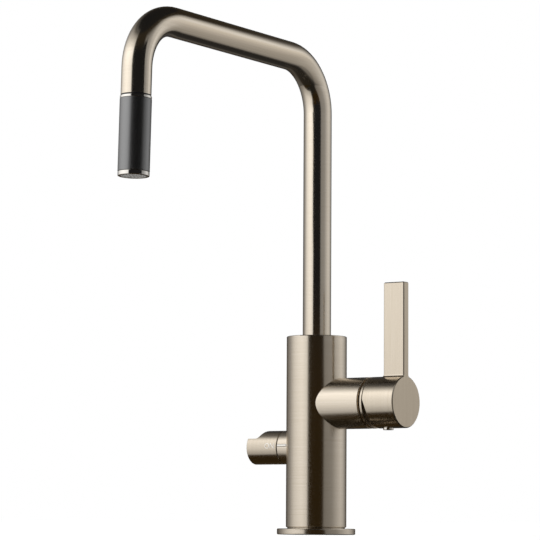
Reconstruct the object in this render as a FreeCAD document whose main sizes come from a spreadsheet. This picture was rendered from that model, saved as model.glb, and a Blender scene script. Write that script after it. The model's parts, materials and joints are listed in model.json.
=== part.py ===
import FreeCAD, Part
import math
import os
import Sketcher

# A pull-out kitchen mixer with a side lever and a dishwasher shut-off valve.
# Millimetres, +Z up, origin at the centre of the deck plate's underside.
# The spout points to -Y, the lever handle sits on +X and the dishwasher valve on -X.

# Driving sizes, in millimetres and degrees
SIZES = {
    # clearances
    "fit_gap": 0.05,  # pieces that are pressed, screwed or clamped together
    "turn_gap": 0.08,  # a shaft in the bearing that it turns in
    "free_gap": 0.3,  # pieces that pass each other without touching
    # deck plate and its seal
    "plate_diameter": 66,
    "plate_thickness": 5,
    "plate_edge": 0.8,
    "seal_inner_diameter": 50,
    "seal_width": 4,
    "seal_depth": 2,
    "seal_recess": 0.1,
    # body shell and the core inside it
    "body_diameter": 51,
    "body_top": 167,
    "body_wall": 3,
    "body_edge": 0.8,
    "body_step_height": 1,  # the shadow line above the deck plate
    "body_step_depth": 1.2,
    "socket_depth": 37,
    "lip_thickness": 3,
    "core_recess": 1,
    "core_foot_diameter": 37,
    "guide_wall": 0.6,
    # threaded ports and waterways in the core
    "port_circle_radius": 12,
    "port_angle": 60,
    "port_thread_diameter": 7,
    "port_thread_depth": 12,
    "stud_hole_diameter": 5,
    "stud_hole_depth": 12,
    "waterway_diameter": 5.5,
    "inlet_port_offset": 8.5,
    "inlet_port_drop": 5,
    "outlet_port_rise": 8,
    "valve_feed_offset": 10,
    "valve_feed_diameter": 4.5,
    # spout
    "tube_diameter": 24,
    "tube_wall": 1.2,
    "bend_radius": 44.5,
    "arm_height": 401.5,  # arm's centreline where it meets the riser's axis
    "arm_rise": 0.7,
    "reach": 246.7,  # riser's axis to the outlet's axis, at the arm
    "outlet_lean": 1.8,
    "outlet_drop": 65.2,  # arm's centreline to the end of the tube
    # spout bearing in the body
    "washer_thickness": 1.5,
    "glide_wall": 2,
    "glide_height": 7,
    "foot_height": 18.5,
    "foot_plug_height": 10,
    "stop_height": 13.5,  # stop groove above the foot's underside
    "stop_groove_depth": 1.8,
    "stop_tip_diameter": 3,
    "retaining_screw_diameter": 5,
    "screw_recess": 0.6,
    "hex_socket_diameter": 2.4,
    "hex_socket_depth": 3,
    "swivel_half_range": 75,
    # pull-out hose
    "hose_diameter": 10.5,
    "hose_bore": 7,
    "hose_tail_height": 3,
    "ferrule_wall": 0.7,
    "tail_ferrule_length": 12,
    "head_ferrule_length": 8.5,
    # docking bush and pull-out head, along the outlet
    "bush_length": 15,
    "bush_bore": 17.4,
    "bush_flange_thickness": 0.9,
    "bush_flange_inset": 0.4,
    "dock_gap": 0.2,
    "neck_length": 10.3,
    "neck_wall": 1.4,
    "nut_flange_thickness": 3,
    "nut_thread_length": 12,
    "nut_top_diameter": 13.2,
    "nut_taper": 1.2,
    "nut_washer_thickness": 1.5,
    "nut_washer_bore": 8,
    "collar_thickness": 2,
    "collar_diameter": 24.8,
    "collar_edge": 0.3,
    "grip_length": 57.3,
    "grip_diameter": 25,
    "grip_edge": 0.6,
    "barrel_diameter": 22.2,
    "barrel_wall": 2,
    "inlet_wall": 1.5,
    "check_valve_length": 11,
    "check_valve_bore": 7,
    "nozzle_length": 3.4,
    "nozzle_edge": 0.5,
    "barrel_thread_length": 1.1,
    "aerator_seat_depth": 6.5,
    "aerator_seat_wall": 1.2,
    "aerator_recess": 0.4,
    "aerator_flange_width": 0.9,
    "aerator_flange_thickness": 1,
    "aerator_hole_diameter": 1.7,
    "aerator_hole_pitch": 2.8,
    "aerator_hole_depth": 3,
    "aerator_gasket_thickness": 0.8,
    "aerator_gasket_width": 2.4,
    # mixing cartridge, along +X from the body's axis
    "handle_height": 109.7,
    "cartridge_seat": 16,
    "cartridge_diameter": 35,
    "cartridge_slack": 0.3,
    "base_seal_gap": 0.3,
    "base_thickness": 4.7,
    "base_seal_depth": 1.5,
    "base_seal_diameter": 9.2,
    "housing_length": 25,
    "housing_wall": 2.2,
    "housing_shoulder": 0.8,
    "housing_lip": 2.4,
    "housing_opening": 23,
    "disc_thickness": 3.5,
    "mixing_disc_diameter": 22,
    "mixing_recess_diameter": 12,
    "mixing_recess_depth": 1.8,
    "driver_thickness": 4,
    "driver_socket_slack": 0.15,
    "carrier_gap": 0.6,
    "carrier_slot_height": 13.6,
    "pivot_depth": 4.4,  # tilt axis below the carrier's outer face
    "pin_diameter": 3,
    "pin_inset": 0.5,
    "ball_diameter": 4,
    "ball_depth": 1.8,  # centre of the ball below the driver's outer face
    "stem_neck_diameter": 2.8,
    "stem_neck_length": 3.8,
    "stem_taper": 1.6,
    "stem_diameter": 7.6,
    "stem_square": 7,
    "stem_in_handle": 10,
    "nut_length": 5,
    "nut_step": 1.5,
    "nut_bore": 24,
    # cover ring and lever handle
    "boss_wall": 2.5,
    "boss_edge": 0.4,
    "ring_skirt": 4,
    "ring_gap": 2.4,
    "ring_rim": 2.1,
    "ring_bore": 27,
    "ring_edge": 0.3,
    "handle_gap": 0.6,
    "handle_length": 29.8,
    "handle_wall": 3.9,
    "handle_cavity": 8.3,
    "handle_edge": 0.8,
    "relief_rise": 2.2,  # the tilt relief starts above the handle's axis
    "relief_radius": 48,
    "relief_angle": 23,  # where the relief starts on its arc
    "lever_width": 20,
    "lever_thickness": 7.8,
    "lever_length": 99.8,
    "lever_edge": 0.9,
    "lever_root": 2.2,
    "handle_screw_diameter": 5,
    "handle_screw_length": 9.5,
    "handle_screw_place": 12.2,  # from the handle's inner end
    "cap_diameter": 8.8,
    "cap_depth": 3.6,
    "cap_stand": 1.4,
    "cap_edge": 0.5,
    # dishwasher valve, along -X from the body's axis
    "valve_height": 73.5,
    "valve_seat": 16,
    "valve_seal_thickness": 1.2,
    "valve_seal_bore": 8,
    "valve_disc_thickness": 2.5,
    "valve_window_diameter": 4.4,
    "valve_window_offset": 4.2,
    "headwork_diameter": 20,
    "headwork_barrel_wall": 0.85,
    "headwork_step": 1.1,
    "valve_boss_wall": 4.3,
    "valve_boss_length": 5.6,
    "gland_diameter": 14,
    "gland_length": 5,
    "spindle_diameter": 8,
    "spindle_flange": 2,
    "spindle_in_knob": 12,
    "o_ring_width": 1.8,
    "o_ring_section": 1.5,
    "o_ring_depth": 1.5,  # from the valve boss's end
    "knob_gap": 0.6,
    "knob_length": 31.1,
    "knob_cavity": 6.3,
    "knob_wall": 3.3,
    "knob_rim": 0.6,
    "knob_end_edge": 0.5,
    "flat_height": 7.6,  # thumb flat above the knob's axis
    "flat_length": 7.8,
    "ramp_angle": 60,
    "ramp_root": 4,
    "ramp_crest": 3,
    "knob_screw_diameter": 4,
    "knob_screw_length": 5,
    "knob_screw_place": 13.3,  # from the knob's inner end
}

AERATOR_RING_COUNT = 3
FIRST_RING_HOLE_COUNT = 6
FULL_TURN = 360
HALF_TURN = 180
QUARTER_TURN = 90
DEGREES_PER_RADIAN = HALF_TURN / math.pi
TOLERANCE = 1e-4
X_AXIS = FreeCAD.Vector(1, 0, 0)
Z_AXIS = FreeCAD.Vector(0, 0, 1)

doc = FreeCAD.newDocument("pull_out_mixer")
sheet = doc.addObject("Spreadsheet::Sheet", "sizes")
for row, (alias, number) in enumerate(SIZES.items(), start=1):
    sheet.set(f"A{row}", alias)
    sheet.set(f"B{row}", str(number))
    sheet.setAlias(f"B{row}", alias)
doc.recompute()


class Size:
    """A length or angle: its number now, and the formula that ties it to the sheet."""

    def __init__(self, number, formula):
        self.number = number
        self.formula = formula

    def __add__(self, other):
        other = as_size(other)
        return Size(self.number + other.number, f"({self.formula} + {other.formula})")

    def __sub__(self, other):
        other = as_size(other)
        return Size(self.number - other.number, f"({self.formula} - {other.formula})")

    def __mul__(self, other):
        other = as_size(other)
        return Size(self.number * other.number, f"({self.formula} * {other.formula})")

    def __truediv__(self, other):
        other = as_size(other)
        return Size(self.number / other.number, f"({self.formula} / {other.formula})")

    def __neg__(self):
        return Size(-self.number, f"(-1 * {self.formula})")


def as_size(value):
    if isinstance(value, Size):
        return value
    return Size(value, f"({value})")


def sine(angle):
    return Size(math.sin(math.radians(angle.number)), f"sin({angle.formula} * 1 deg)")


def cosine(angle):
    return Size(math.cos(math.radians(angle.number)), f"cos({angle.formula} * 1 deg)")


def tangent(angle):
    return Size(math.tan(math.radians(angle.number)), f"tan({angle.formula} * 1 deg)")


class Sheet:
    """The sheet's cells by name, as sizes."""

    def __getattr__(self, alias):
        return Size(float(sheet.get(alias)), f"sizes.{alias}")


s = Sheet()


def bind(item, name, size):
    item.setExpression(name, as_size(size).formula)


# Ways of making a piece

# A turned piece is drawn as (along, radius) corners beside the axis that it turns about.
UP = "up"  # +Z, the body's axis
RIGHT = "right"  # +X, the handle's axis
LEFT = "left"  # -X, the valve's axis
DOWN = "down"  # -Z, the outlet's axis before it leans


def new_body(label):
    body = doc.addObject("PartDesign::Body", label)
    body.Label = label
    return body


def new_sketch(body, plane, lift=0, rise=0):
    """A sketch on one of the body's own planes, lift along its normal, its origin raised by rise."""
    sketch = body.newObject("Sketcher::SketchObject", f"{body.Label}_sketch")
    support = [feature for feature in body.Origin.OriginFeatures if feature.Role == plane]
    sketch.AttachmentSupport = (support[0], [""])
    sketch.MapMode = "FlatFace"
    bind(sketch, "AttachmentOffset.Base.y", rise)
    bind(sketch, "AttachmentOffset.Base.z", lift)
    return sketch


def fix_point(sketch, line, end, across, up):
    """Hold one point of a sketch at a place measured from the sketch's origin."""
    first = sketch.ConstraintCount
    sketch.addConstraint(
        [
            Sketcher.Constraint("DistanceX", -1, 1, line, end, across.number),
            Sketcher.Constraint("DistanceY", -1, 1, line, end, up.number),
        ]
    )
    sketch.setExpression(f"Constraints[{first}]", across.formula)
    sketch.setExpression(f"Constraints[{first + 1}]", up.formula)


def fix_radius(sketch, curve, radius):
    first = sketch.ConstraintCount
    sketch.addConstraint(Sketcher.Constraint("Radius", curve, radius.number))
    sketch.setExpression(f"Constraints[{first}]", radius.formula)


def outline(sketch, corners):
    """A closed outline of straight sides, each corner held by its two sizes."""
    corners = [(as_size(across), as_size(up)) for across, up in corners]
    points = [FreeCAD.Vector(across.number, up.number, 0) for across, up in corners]
    count = len(points)
    first = sketch.GeometryCount
    sketch.addGeometry([Part.LineSegment(points[i], points[(i + 1) % count]) for i in range(count)])
    sketch.addConstraint(
        [Sketcher.Constraint("Coincident", first + i, 2, first + (i + 1) % count, 1) for i in range(count)]
    )
    for i, (across, up) in enumerate(corners):
        fix_point(sketch, first + i, 1, across, up)


def add_run(sketch, start, end):
    points = [FreeCAD.Vector(across.number, up.number, 0) for across, up in (start, end)]
    line = sketch.addGeometry(Part.LineSegment(*points))
    fix_point(sketch, line, 1, *start)
    fix_point(sketch, line, 2, *end)


def add_arc(sketch, centre, start, end, radius):
    """An anticlockwise arc, held by its ends and its radius."""
    middle = FreeCAD.Vector(centre[0].number, centre[1].number, 0)
    angles = [
        math.atan2(up.number - middle.y, across.number - middle.x) for across, up in (start, end)
    ]
    whole = Part.Circle(middle, Z_AXIS, radius.number)
    curve = sketch.addGeometry(Part.ArcOfCircle(whole, angles[0], angles[1]))
    fix_point(sketch, curve, 1, *start)
    fix_point(sketch, curve, 2, *end)
    fix_radius(sketch, curve, radius)


def rectangle(sketch, half_width, half_height):
    """A rectangle centred on the sketch's origin."""
    outline(
        sketch,
        [
            (-half_width, -half_height),
            (half_width, -half_height),
            (half_width, half_height),
            (-half_width, half_height),
        ],
    )


def circle(sketch, across, up, radius):
    across, up, radius = as_size(across), as_size(up), as_size(radius)
    centre = FreeCAD.Vector(across.number, up.number, 0)
    curve = sketch.addGeometry(Part.Circle(centre, Z_AXIS, radius.number))
    fix_point(sketch, curve, 3, across, up)
    fix_radius(sketch, curve, radius)


def finish_feature(body, feature, cuts):
    """Recompute a feature and make sure that it changed the solid the way it should."""
    before = feature.BaseFeature.Shape.Volume if feature.BaseFeature else 0
    doc.recompute()
    change = feature.Shape.Volume - before
    if (change >= 0) if cuts else (change <= 0):
        raise ValueError(f"{body.Label}: {feature.Name} changed the volume by {change:.3f}")
    return feature


def revolve(body, kind, axis, corners, rise=0):
    """A Revolution or a Groove of (along, radius) corners about a body axis, raised by rise."""
    sketch = new_sketch(body, "XZ_Plane", rise=rise)
    if axis == UP:
        outline(sketch, [(radius, along) for along, radius in corners])
    if axis == DOWN:
        outline(sketch, [(radius, -as_size(along)) for along, radius in corners])
    if axis == RIGHT:
        outline(sketch, corners)
    if axis == LEFT:
        outline(sketch, [(-as_size(along), radius) for along, radius in corners])
    feature = body.newObject(f"PartDesign::{kind}", f"{body.Label}_{kind}")
    feature.Profile = sketch
    feature.ReferenceAxis = (sketch, ["V_Axis" if axis in (UP, DOWN) else "H_Axis"])
    feature.Angle = FULL_TURN
    return finish_feature(body, feature, kind == "Groove")


def extrude(body, kind, sketch, length=None, backwards=False, both_ways=False):
    """A Pad or a Pocket; a Pocket with no length goes right through."""
    feature = body.newObject(f"PartDesign::{kind}", f"{body.Label}_{kind}")
    feature.Profile = sketch
    feature.Reversed = backwards
    if both_ways:
        feature.SideType = "Symmetric"
    if length is None:
        feature.Type = "ThroughAll"
    else:
        bind(feature, "Length", length)
    return finish_feature(body, feature, kind == "Pocket")


def drill(body, plane, places, radius, length=None, lift=0, rise=0, backwards=False):
    """Round holes of one size at places on a plane."""
    sketch = new_sketch(body, plane, lift, rise)
    for across, up in places:
        circle(sketch, across, up, radius)
    return extrude(body, "Pocket", sketch, length, backwards)


def pick_edges(body, feature, wanted):
    """Hand a feature the edges of the finished shape that a test picks."""
    names = [f"Edge{i}" for i, edge in enumerate(feature.BaseFeature.Shape.Edges, start=1) if wanted(edge)]
    feature.Base = (feature.BaseFeature, names)


def soften(body, radius, wanted):
    """Round the edges of the finished shape that a test picks."""
    feature = body.newObject("PartDesign::Fillet", f"{body.Label}_Fillet")
    pick_edges(body, feature, wanted)
    bind(feature, "Radius", radius)
    doc.recompute()


def bevel(body, size, wanted):
    """Cut a flat at 45 degrees along the edges of the finished shape that a test picks."""
    feature = body.newObject("PartDesign::Chamfer", f"{body.Label}_Chamfer")
    pick_edges(body, feature, wanted)
    bind(feature, "Size", size)
    doc.recompute()


def is_near(first, second):
    return abs(first - second) < TOLERANCE


def rim_at(radius, **place):
    """A test for round edges of one radius whose centre has the given coordinates."""

    def wanted(edge):
        if not isinstance(edge.Curve, Part.Circle) or not is_near(edge.Curve.Radius, radius.number):
            return False
        centre = edge.Curve.Center
        return all(is_near(getattr(centre, name), size.number) for name, size in place.items())

    return wanted


def turned(label, axis, corners):
    body = new_body(label)
    revolve(body, "Revolution", axis, corners)
    return body


def disc(label, axis, start, end, radius):
    return turned(label, axis, [(start, 0), (start, radius), (end, radius), (end, 0)])


def tube(label, axis, start, end, inner, outer):
    return turned(label, axis, [(start, inner), (start, outer), (end, outer), (end, inner)])


def on_handle_axis(body):
    bind(body, "Placement.Base.z", s.handle_height)
    return body


def on_valve_axis(body):
    bind(body, "Placement.Base.z", s.valve_height)
    return body


def on_outlet(body):
    """Hang a piece from the corner where the arm's and the outlet's centrelines meet."""
    lean = FreeCAD.Rotation(X_AXIS, -s.outlet_lean.number)
    body.Placement = FreeCAD.Placement(FreeCAD.Vector(), lean)
    bind(body, "Placement.Rotation.Angle", -s.outlet_lean)
    bind(body, "Placement.Base.y", -s.reach)
    bind(body, "Placement.Base.z", outlet_corner_height)
    return body


def tipped(body, degrees, across, height):
    """Tip a piece that was drawn along +Z about X, and put it at a place in the XZ plane."""
    body.Placement = FreeCAD.Placement(FreeCAD.Vector(), FreeCAD.Rotation(X_AXIS, degrees))
    bind(body, "Placement.Base.x", across)
    bind(body, "Placement.Base.z", height)
    return body


# Places that several pieces share

# body
body_radius = s.body_diameter / 2
shell_inner = body_radius - s.body_wall
core_radius = shell_inner - s.fit_gap
core_foot = s.core_foot_diameter / 2
socket_floor = s.body_top - s.socket_depth
lip_underside = s.body_top - s.lip_thickness
hose_radius = s.hose_diameter / 2
ferrule_radius = hose_radius + s.fit_gap + s.ferrule_wall
guide_inner = ferrule_radius + s.free_gap
guide_outer = guide_inner + s.guide_wall
passage = guide_outer + s.fit_gap
waterway = s.waterway_diameter / 2
port_across = s.port_circle_radius * cosine(s.port_angle)
port_back = s.port_circle_radius * sine(s.port_angle)

# spout
tube_radius = s.tube_diameter / 2
tube_inner = tube_radius - s.tube_wall
socket_radius = tube_radius + s.turn_gap + s.glide_wall + s.fit_gap
foot_underside = socket_floor + s.washer_thickness
tube_start = foot_underside + s.foot_height
stop_level = foot_underside + s.stop_height
stop_floor = tube_radius - s.stop_groove_depth
stop_tip = s.stop_tip_diameter / 2
retaining_thread = s.retaining_screw_diameter / 2
outlet_corner_height = s.arm_height + s.reach * tangent(s.arm_rise)

# pull-out head, measured down the outlet from the corner
collar_top = s.outlet_drop + s.bush_flange_thickness + s.dock_gap
collar_end = collar_top + s.collar_thickness
grip_end = collar_end + s.grip_length
nozzle_end = grip_end + s.nozzle_length
neck_top = collar_top - s.neck_length
nut_top = neck_top - s.nut_flange_thickness
neck_radius = s.bush_bore / 2 - s.free_gap
neck_bore = neck_radius - s.neck_wall
nut_end = neck_top + s.nut_thread_length
inlet_floor = nut_end + s.nut_washer_thickness
chamber_top = inlet_floor + s.inlet_wall
barrel_radius = s.barrel_diameter / 2
barrel_end = grip_end + s.barrel_thread_length
chamber_radius = barrel_radius - s.barrel_wall
aerator_seat = barrel_end - s.aerator_seat_depth
aerator_bore = barrel_radius - s.aerator_seat_wall
aerator_radius = aerator_bore - s.fit_gap
aerator_flange_radius = aerator_radius + s.aerator_flange_width
aerator_shoulder = barrel_end + s.fit_gap
aerator_flange_end = aerator_shoulder + s.aerator_flange_thickness
aerator_face = nozzle_end - s.aerator_recess
grip_bore = barrel_radius + s.fit_gap

# mixing cartridge and handle, along +X
cartridge_bore = s.cartridge_diameter / 2
cartridge_radius = cartridge_bore - s.cartridge_slack
base_start = s.cartridge_seat + s.base_seal_gap
base_end = base_start + s.base_thickness
housing_end = base_end + s.housing_length
housing_inner = cartridge_radius - s.housing_wall
carrier_bore = housing_inner - s.housing_shoulder
fixed_disc_end = base_end + s.disc_thickness
mixing_start = fixed_disc_end + s.fit_gap
driver_start = mixing_start + s.disc_thickness
driver_end = driver_start + s.driver_thickness
carrier_start = driver_end + s.carrier_gap
carrier_end = housing_end - s.housing_lip - s.free_gap
carrier_radius = carrier_bore - s.turn_gap
pivot = carrier_end - s.pivot_depth
ball_centre = driver_end - s.ball_depth
ball_radius = s.ball_diameter / 2
pin_radius = s.pin_diameter / 2
stem_radius = s.stem_diameter / 2
nut_end_place = housing_end + s.nut_length
boss_end = nut_end_place + s.ring_skirt
nut_seat_radius = cartridge_bore + s.nut_step
nut_radius = nut_seat_radius - s.fit_gap
handle_radius = nut_seat_radius + s.boss_wall
ring_start = boss_end + s.ring_gap
ring_end = ring_start + s.ring_rim
handle_start = ring_end + s.handle_gap
handle_end = handle_start + s.handle_length
cavity_end = handle_start + s.handle_cavity
stem_end = cavity_end + s.stem_in_handle
socket_half = s.stem_square / 2 + s.fit_gap
handle_screw_across = handle_start + s.handle_screw_place
cap_radius = s.cap_diameter / 2
cap_floor = handle_radius - s.cap_depth

# dishwasher valve, along -X
headwork_radius = s.headwork_diameter / 2
headwork_bore = headwork_radius + s.fit_gap
barrel_outer = headwork_radius - s.headwork_step
valve_chamber = barrel_outer + s.fit_gap
disc_chamber = barrel_outer - s.headwork_barrel_wall
valve_disc_radius = disc_chamber - s.fit_gap
valve_boss_radius = headwork_bore + s.valve_boss_wall
valve_boss_end = body_radius + s.valve_boss_length
valve_seal_end = s.valve_seat + s.valve_seal_thickness
valve_fixed_end = valve_seal_end + s.valve_disc_thickness
valve_moving_start = valve_fixed_end + s.fit_gap
spindle_start = valve_moving_start + s.valve_disc_thickness
spindle_flange_end = spindle_start + s.spindle_flange
disc_chamber_end = spindle_flange_end + s.fit_gap
headwork_shoulder = shell_inner + s.fit_gap
spindle_radius = s.spindle_diameter / 2
spindle_bore = spindle_radius + s.turn_gap
o_ring_end = valve_boss_end - s.o_ring_depth
o_ring_start = o_ring_end - s.o_ring_width
gland_end = valve_boss_end + s.gland_length
knob_start = valve_boss_end + s.knob_gap
knob_end = knob_start + s.knob_length
knob_cavity_end = knob_start + s.knob_cavity
spindle_end = knob_cavity_end + s.spindle_in_knob
knob_bore = spindle_radius + s.fit_gap
knob_screw_across = knob_start + s.knob_screw_place


# Body and base

def deck_plate():
    body = new_body("deck_plate")
    bore = core_foot + s.fit_gap
    groove_inner = s.seal_inner_diameter / 2
    groove_outer = groove_inner + s.seal_width
    rim = s.plate_diameter / 2
    revolve(
        body,
        "Revolution",
        UP,
        [
            (0, bore),
            (0, groove_inner),
            (s.seal_depth, groove_inner),
            (s.seal_depth, groove_outer),
            (0, groove_outer),
            (0, rim),
            (s.plate_thickness, rim),
            (s.plate_thickness, bore),
        ],
    )
    soften(body, s.plate_edge, rim_at(rim))
    return body


def deck_seal():
    inner = s.seal_inner_diameter / 2
    outer = inner + s.seal_width
    return tube("deck_seal", UP, s.seal_recess, s.seal_depth, inner + s.fit_gap, outer - s.fit_gap)


def body_shell():
    """Round shell with the handle's boss and the valve's boss, open below, with the spout's socket on top."""
    body = new_body("body_shell")
    step_top = s.plate_thickness + s.body_step_height
    step_radius = body_radius - s.body_step_depth
    revolve(
        body,
        "Revolution",
        UP,
        [
            (s.plate_thickness, 0),
            (s.plate_thickness, step_radius),
            (step_top, step_radius),
            (step_top, body_radius),
            (s.body_top, body_radius),
            (s.body_top, 0),
        ],
    )
    boss = [(0, 0), (0, handle_radius), (boss_end, handle_radius), (boss_end, 0)]
    revolve(body, "Revolution", RIGHT, boss, rise=s.handle_height)
    valve_boss = [(0, 0), (0, valve_boss_radius), (valve_boss_end, valve_boss_radius), (valve_boss_end, 0)]
    revolve(body, "Revolution", LEFT, valve_boss, rise=s.valve_height)
    soften(body, s.body_edge, rim_at(body_radius, z=s.body_top))
    soften(body, s.body_edge, rim_at(body_radius, z=step_top))
    soften(body, s.boss_edge, rim_at(handle_radius, x=boss_end))
    soften(body, s.boss_edge, rim_at(valve_boss_radius, x=-valve_boss_end))
    lip_radius = tube_radius + s.free_gap
    revolve(
        body,
        "Groove",
        UP,
        [
            (s.plate_thickness, 0),
            (s.plate_thickness, shell_inner),
            (socket_floor, shell_inner),
            (socket_floor, socket_radius),
            (lip_underside, socket_radius),
            (lip_underside, lip_radius),
            (s.body_top, lip_radius),
            (s.body_top, 0),
        ],
    )
    cartridge_hole = [
        (0, 0),
        (0, cartridge_bore),
        (housing_end, cartridge_bore),
        (housing_end, nut_seat_radius),
        (boss_end, nut_seat_radius),
        (boss_end, 0),
    ]
    revolve(body, "Groove", RIGHT, cartridge_hole, rise=s.handle_height)
    valve_hole = [(0, 0), (0, headwork_bore), (valve_boss_end, headwork_bore), (valve_boss_end, 0)]
    revolve(body, "Groove", LEFT, valve_hole, rise=s.valve_height)
    drill(body, "XZ_Plane", [(0, stop_level)], retaining_thread + s.fit_gap)
    return body


def waterway_core():
    """Brass core inside the shell: cartridge seat, valve seat, hose passage and the ports underneath."""
    body = new_body("waterway_core")
    revolve(
        body,
        "Revolution",
        UP,
        [
            (s.core_recess, passage),
            (s.core_recess, core_foot),
            (s.plate_thickness, core_foot),
            (s.plate_thickness, core_radius),
            (socket_floor, core_radius),
            (socket_floor, passage),
        ],
    )
    seat = s.cartridge_seat
    seat_hole = [(seat, 0), (seat, cartridge_bore), (body_radius, cartridge_bore), (body_radius, 0)]
    revolve(body, "Groove", RIGHT, seat_hole, rise=s.handle_height)
    bottom = s.valve_seat
    chamber = [(bottom, 0), (bottom, valve_chamber), (body_radius, valve_chamber), (body_radius, 0)]
    revolve(body, "Groove", LEFT, chamber, rise=s.valve_height)

    hot = (port_across, port_back)
    cold = (port_across, -port_back)
    mixed = (s.port_circle_radius, 0)
    appliance = (-s.port_circle_radius, 0)
    studs = [(-port_across, port_back), (-port_across, -port_back)]

    def drill_up(places, radius, top):
        drill(body, "XY_Plane", places, radius, top - s.core_recess, lift=s.core_recess, backwards=True)

    drill_up([hot, cold], waterway, s.handle_height - s.inlet_port_drop)
    drill_up([mixed], waterway, s.handle_height + s.outlet_port_rise)
    drill_up([appliance], waterway, s.valve_height)
    drill_up([hot, cold, mixed, appliance], s.port_thread_diameter / 2, s.core_recess + s.port_thread_depth)
    drill_up(studs, s.stud_hole_diameter / 2, s.core_recess + s.stud_hole_depth)

    inlets, outlet = seat_ports(s.handle_height)
    drill(body, "YZ_Plane", inlets, waterway, seat - port_across, lift=seat)
    drill(body, "YZ_Plane", [outlet], waterway, seat - s.port_circle_radius, lift=seat)
    feed = [(-s.valve_feed_offset, s.valve_height)]
    feed_radius = s.valve_feed_diameter / 2
    drill(body, "YZ_Plane", feed, feed_radius, port_across + valve_seal_end, lift=port_across)
    link = [(0, s.valve_height)]
    link_length = s.valve_seat - s.port_circle_radius
    drill(body, "YZ_Plane", link, feed_radius, link_length, lift=-s.port_circle_radius)
    return body


def seat_ports(level):
    """Places of the two inlets and the outlet on the cartridge's seat, for a given height of its axis."""
    low = level - s.inlet_port_drop
    inlets = [(s.inlet_port_offset, low), (-s.inlet_port_offset, low)]
    return inlets, (as_size(0), level + s.outlet_port_rise)


def hose_guide():
    return tube("hose_guide", UP, s.core_recess, socket_floor, guide_inner, guide_outer)


# Spout and its bearing

def thrust_washer():
    return tube("thrust_washer", UP, socket_floor, foot_underside, guide_outer, socket_radius - s.free_gap)


def lower_glide_ring():
    start = foot_underside + s.washer_thickness
    inner = tube_radius + s.turn_gap
    return tube("lower_glide_ring", UP, start, start + s.glide_height, inner, socket_radius - s.fit_gap)


def upper_glide_ring():
    inner = tube_radius + s.turn_gap
    start = lip_underside - s.glide_height
    return tube("upper_glide_ring", UP, start, lip_underside, inner, socket_radius - s.fit_gap)


def spout_foot():
    """Foot soldered into the tube; its groove runs part of the way round and stops the swivel."""
    plug = tube_inner - s.fit_gap
    plug_end = tube_start + s.foot_plug_height
    body = turned(
        "spout_foot",
        UP,
        [
            (foot_underside, guide_inner),
            (foot_underside, tube_radius),
            (tube_start, tube_radius),
            (tube_start, plug),
            (plug_end, plug),
            (plug_end, guide_inner),
        ],
    )
    half_width = stop_tip + s.free_gap
    sketch = new_sketch(body, "YZ_Plane")
    outside = tube_radius + s.free_gap
    outline(
        sketch,
        [
            (stop_floor, stop_level - half_width),
            (outside, stop_level - half_width),
            (outside, stop_level + half_width),
            (stop_floor, stop_level + half_width),
        ],
    )
    groove = body.newObject("PartDesign::Groove", "stop_groove")
    groove.Profile = sketch
    groove.ReferenceAxis = (sketch, ["V_Axis"])
    groove.Midplane = True
    tip_angle = half_width / stop_floor * DEGREES_PER_RADIAN
    bind(groove, "Angle", (s.swivel_half_range + tip_angle) * 2)
    finish_feature(body, groove, cuts=True)
    return body


def retaining_screw():
    """Grub screw through the back of the body, its tip in the foot's groove."""
    tip_end = socket_radius + s.free_gap
    head = body_radius - s.screw_recess
    hex_radius = s.hex_socket_diameter / 2
    hex_floor = head - s.hex_socket_depth
    body = turned(
        "retaining_screw",
        UP,
        [
            (stop_floor + s.free_gap, 0),
            (stop_floor + s.free_gap, stop_tip),
            (tip_end, stop_tip),
            (tip_end, retaining_thread),
            (head, retaining_thread),
            (head, hex_radius),
            (hex_floor, hex_radius),
            (hex_floor, 0),
        ],
    )
    return tipped(body, -QUARTER_TURN, 0, stop_level)


def spout_route(sketch, start_height, end_drop):
    """The spout's centreline in the YZ plane: riser, bend, arm, bend and outlet."""
    along_arm = (-cosine(s.arm_rise), sine(s.arm_rise))
    along_outlet = (-sine(s.outlet_lean), -cosine(s.outlet_lean))
    corner = (-s.reach, outlet_corner_height)
    first_tangent = s.bend_radius * tangent((as_size(QUARTER_TURN) - s.arm_rise) / 2)
    last_tangent = s.bend_radius * tangent((as_size(QUARTER_TURN) + s.arm_rise - s.outlet_lean) / 2)

    def from_point(point, direction, distance):
        return tuple(place + step * distance for place, step in zip(point, direction))

    riser_start = (as_size(0), as_size(start_height))
    riser_end = (as_size(0), s.arm_height - first_tangent)
    arm_start = from_point((as_size(0), s.arm_height), along_arm, first_tangent)
    arm_end = from_point(corner, along_arm, -last_tangent)
    outlet_start = from_point(corner, along_outlet, last_tangent)
    outlet_end = from_point(corner, along_outlet, end_drop)

    first_centre = from_point(riser_end, (as_size(-1), as_size(0)), s.bend_radius)
    last_centre = from_point(outlet_start, (cosine(s.outlet_lean), -sine(s.outlet_lean)), s.bend_radius)
    add_run(sketch, riser_start, riser_end)
    add_arc(sketch, first_centre, riser_end, arm_start, s.bend_radius)
    add_run(sketch, arm_start, arm_end)
    add_arc(sketch, last_centre, arm_end, outlet_start, s.bend_radius)
    add_run(sketch, outlet_start, outlet_end)


def bent_pipe(label, start_height, end_drop, outer, inner):
    body = new_body(label)
    route = new_sketch(body, "YZ_Plane")
    spout_route(route, start_height, end_drop)
    section = new_sketch(body, "XY_Plane", lift=start_height)
    circle(section, 0, 0, outer)
    circle(section, 0, 0, inner)
    doc.recompute()
    pipe = body.newObject("PartDesign::AdditivePipe", f"{label}_pipe")
    pipe.Profile = section
    pipe.Spine = (route, [f"Edge{i}" for i in range(1, route.GeometryCount + 1)])
    finish_feature(body, pipe, cuts=False)
    return body


def spout_tube():
    return bent_pipe("spout_tube", tube_start, s.outlet_drop, tube_radius, tube_inner)


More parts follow.
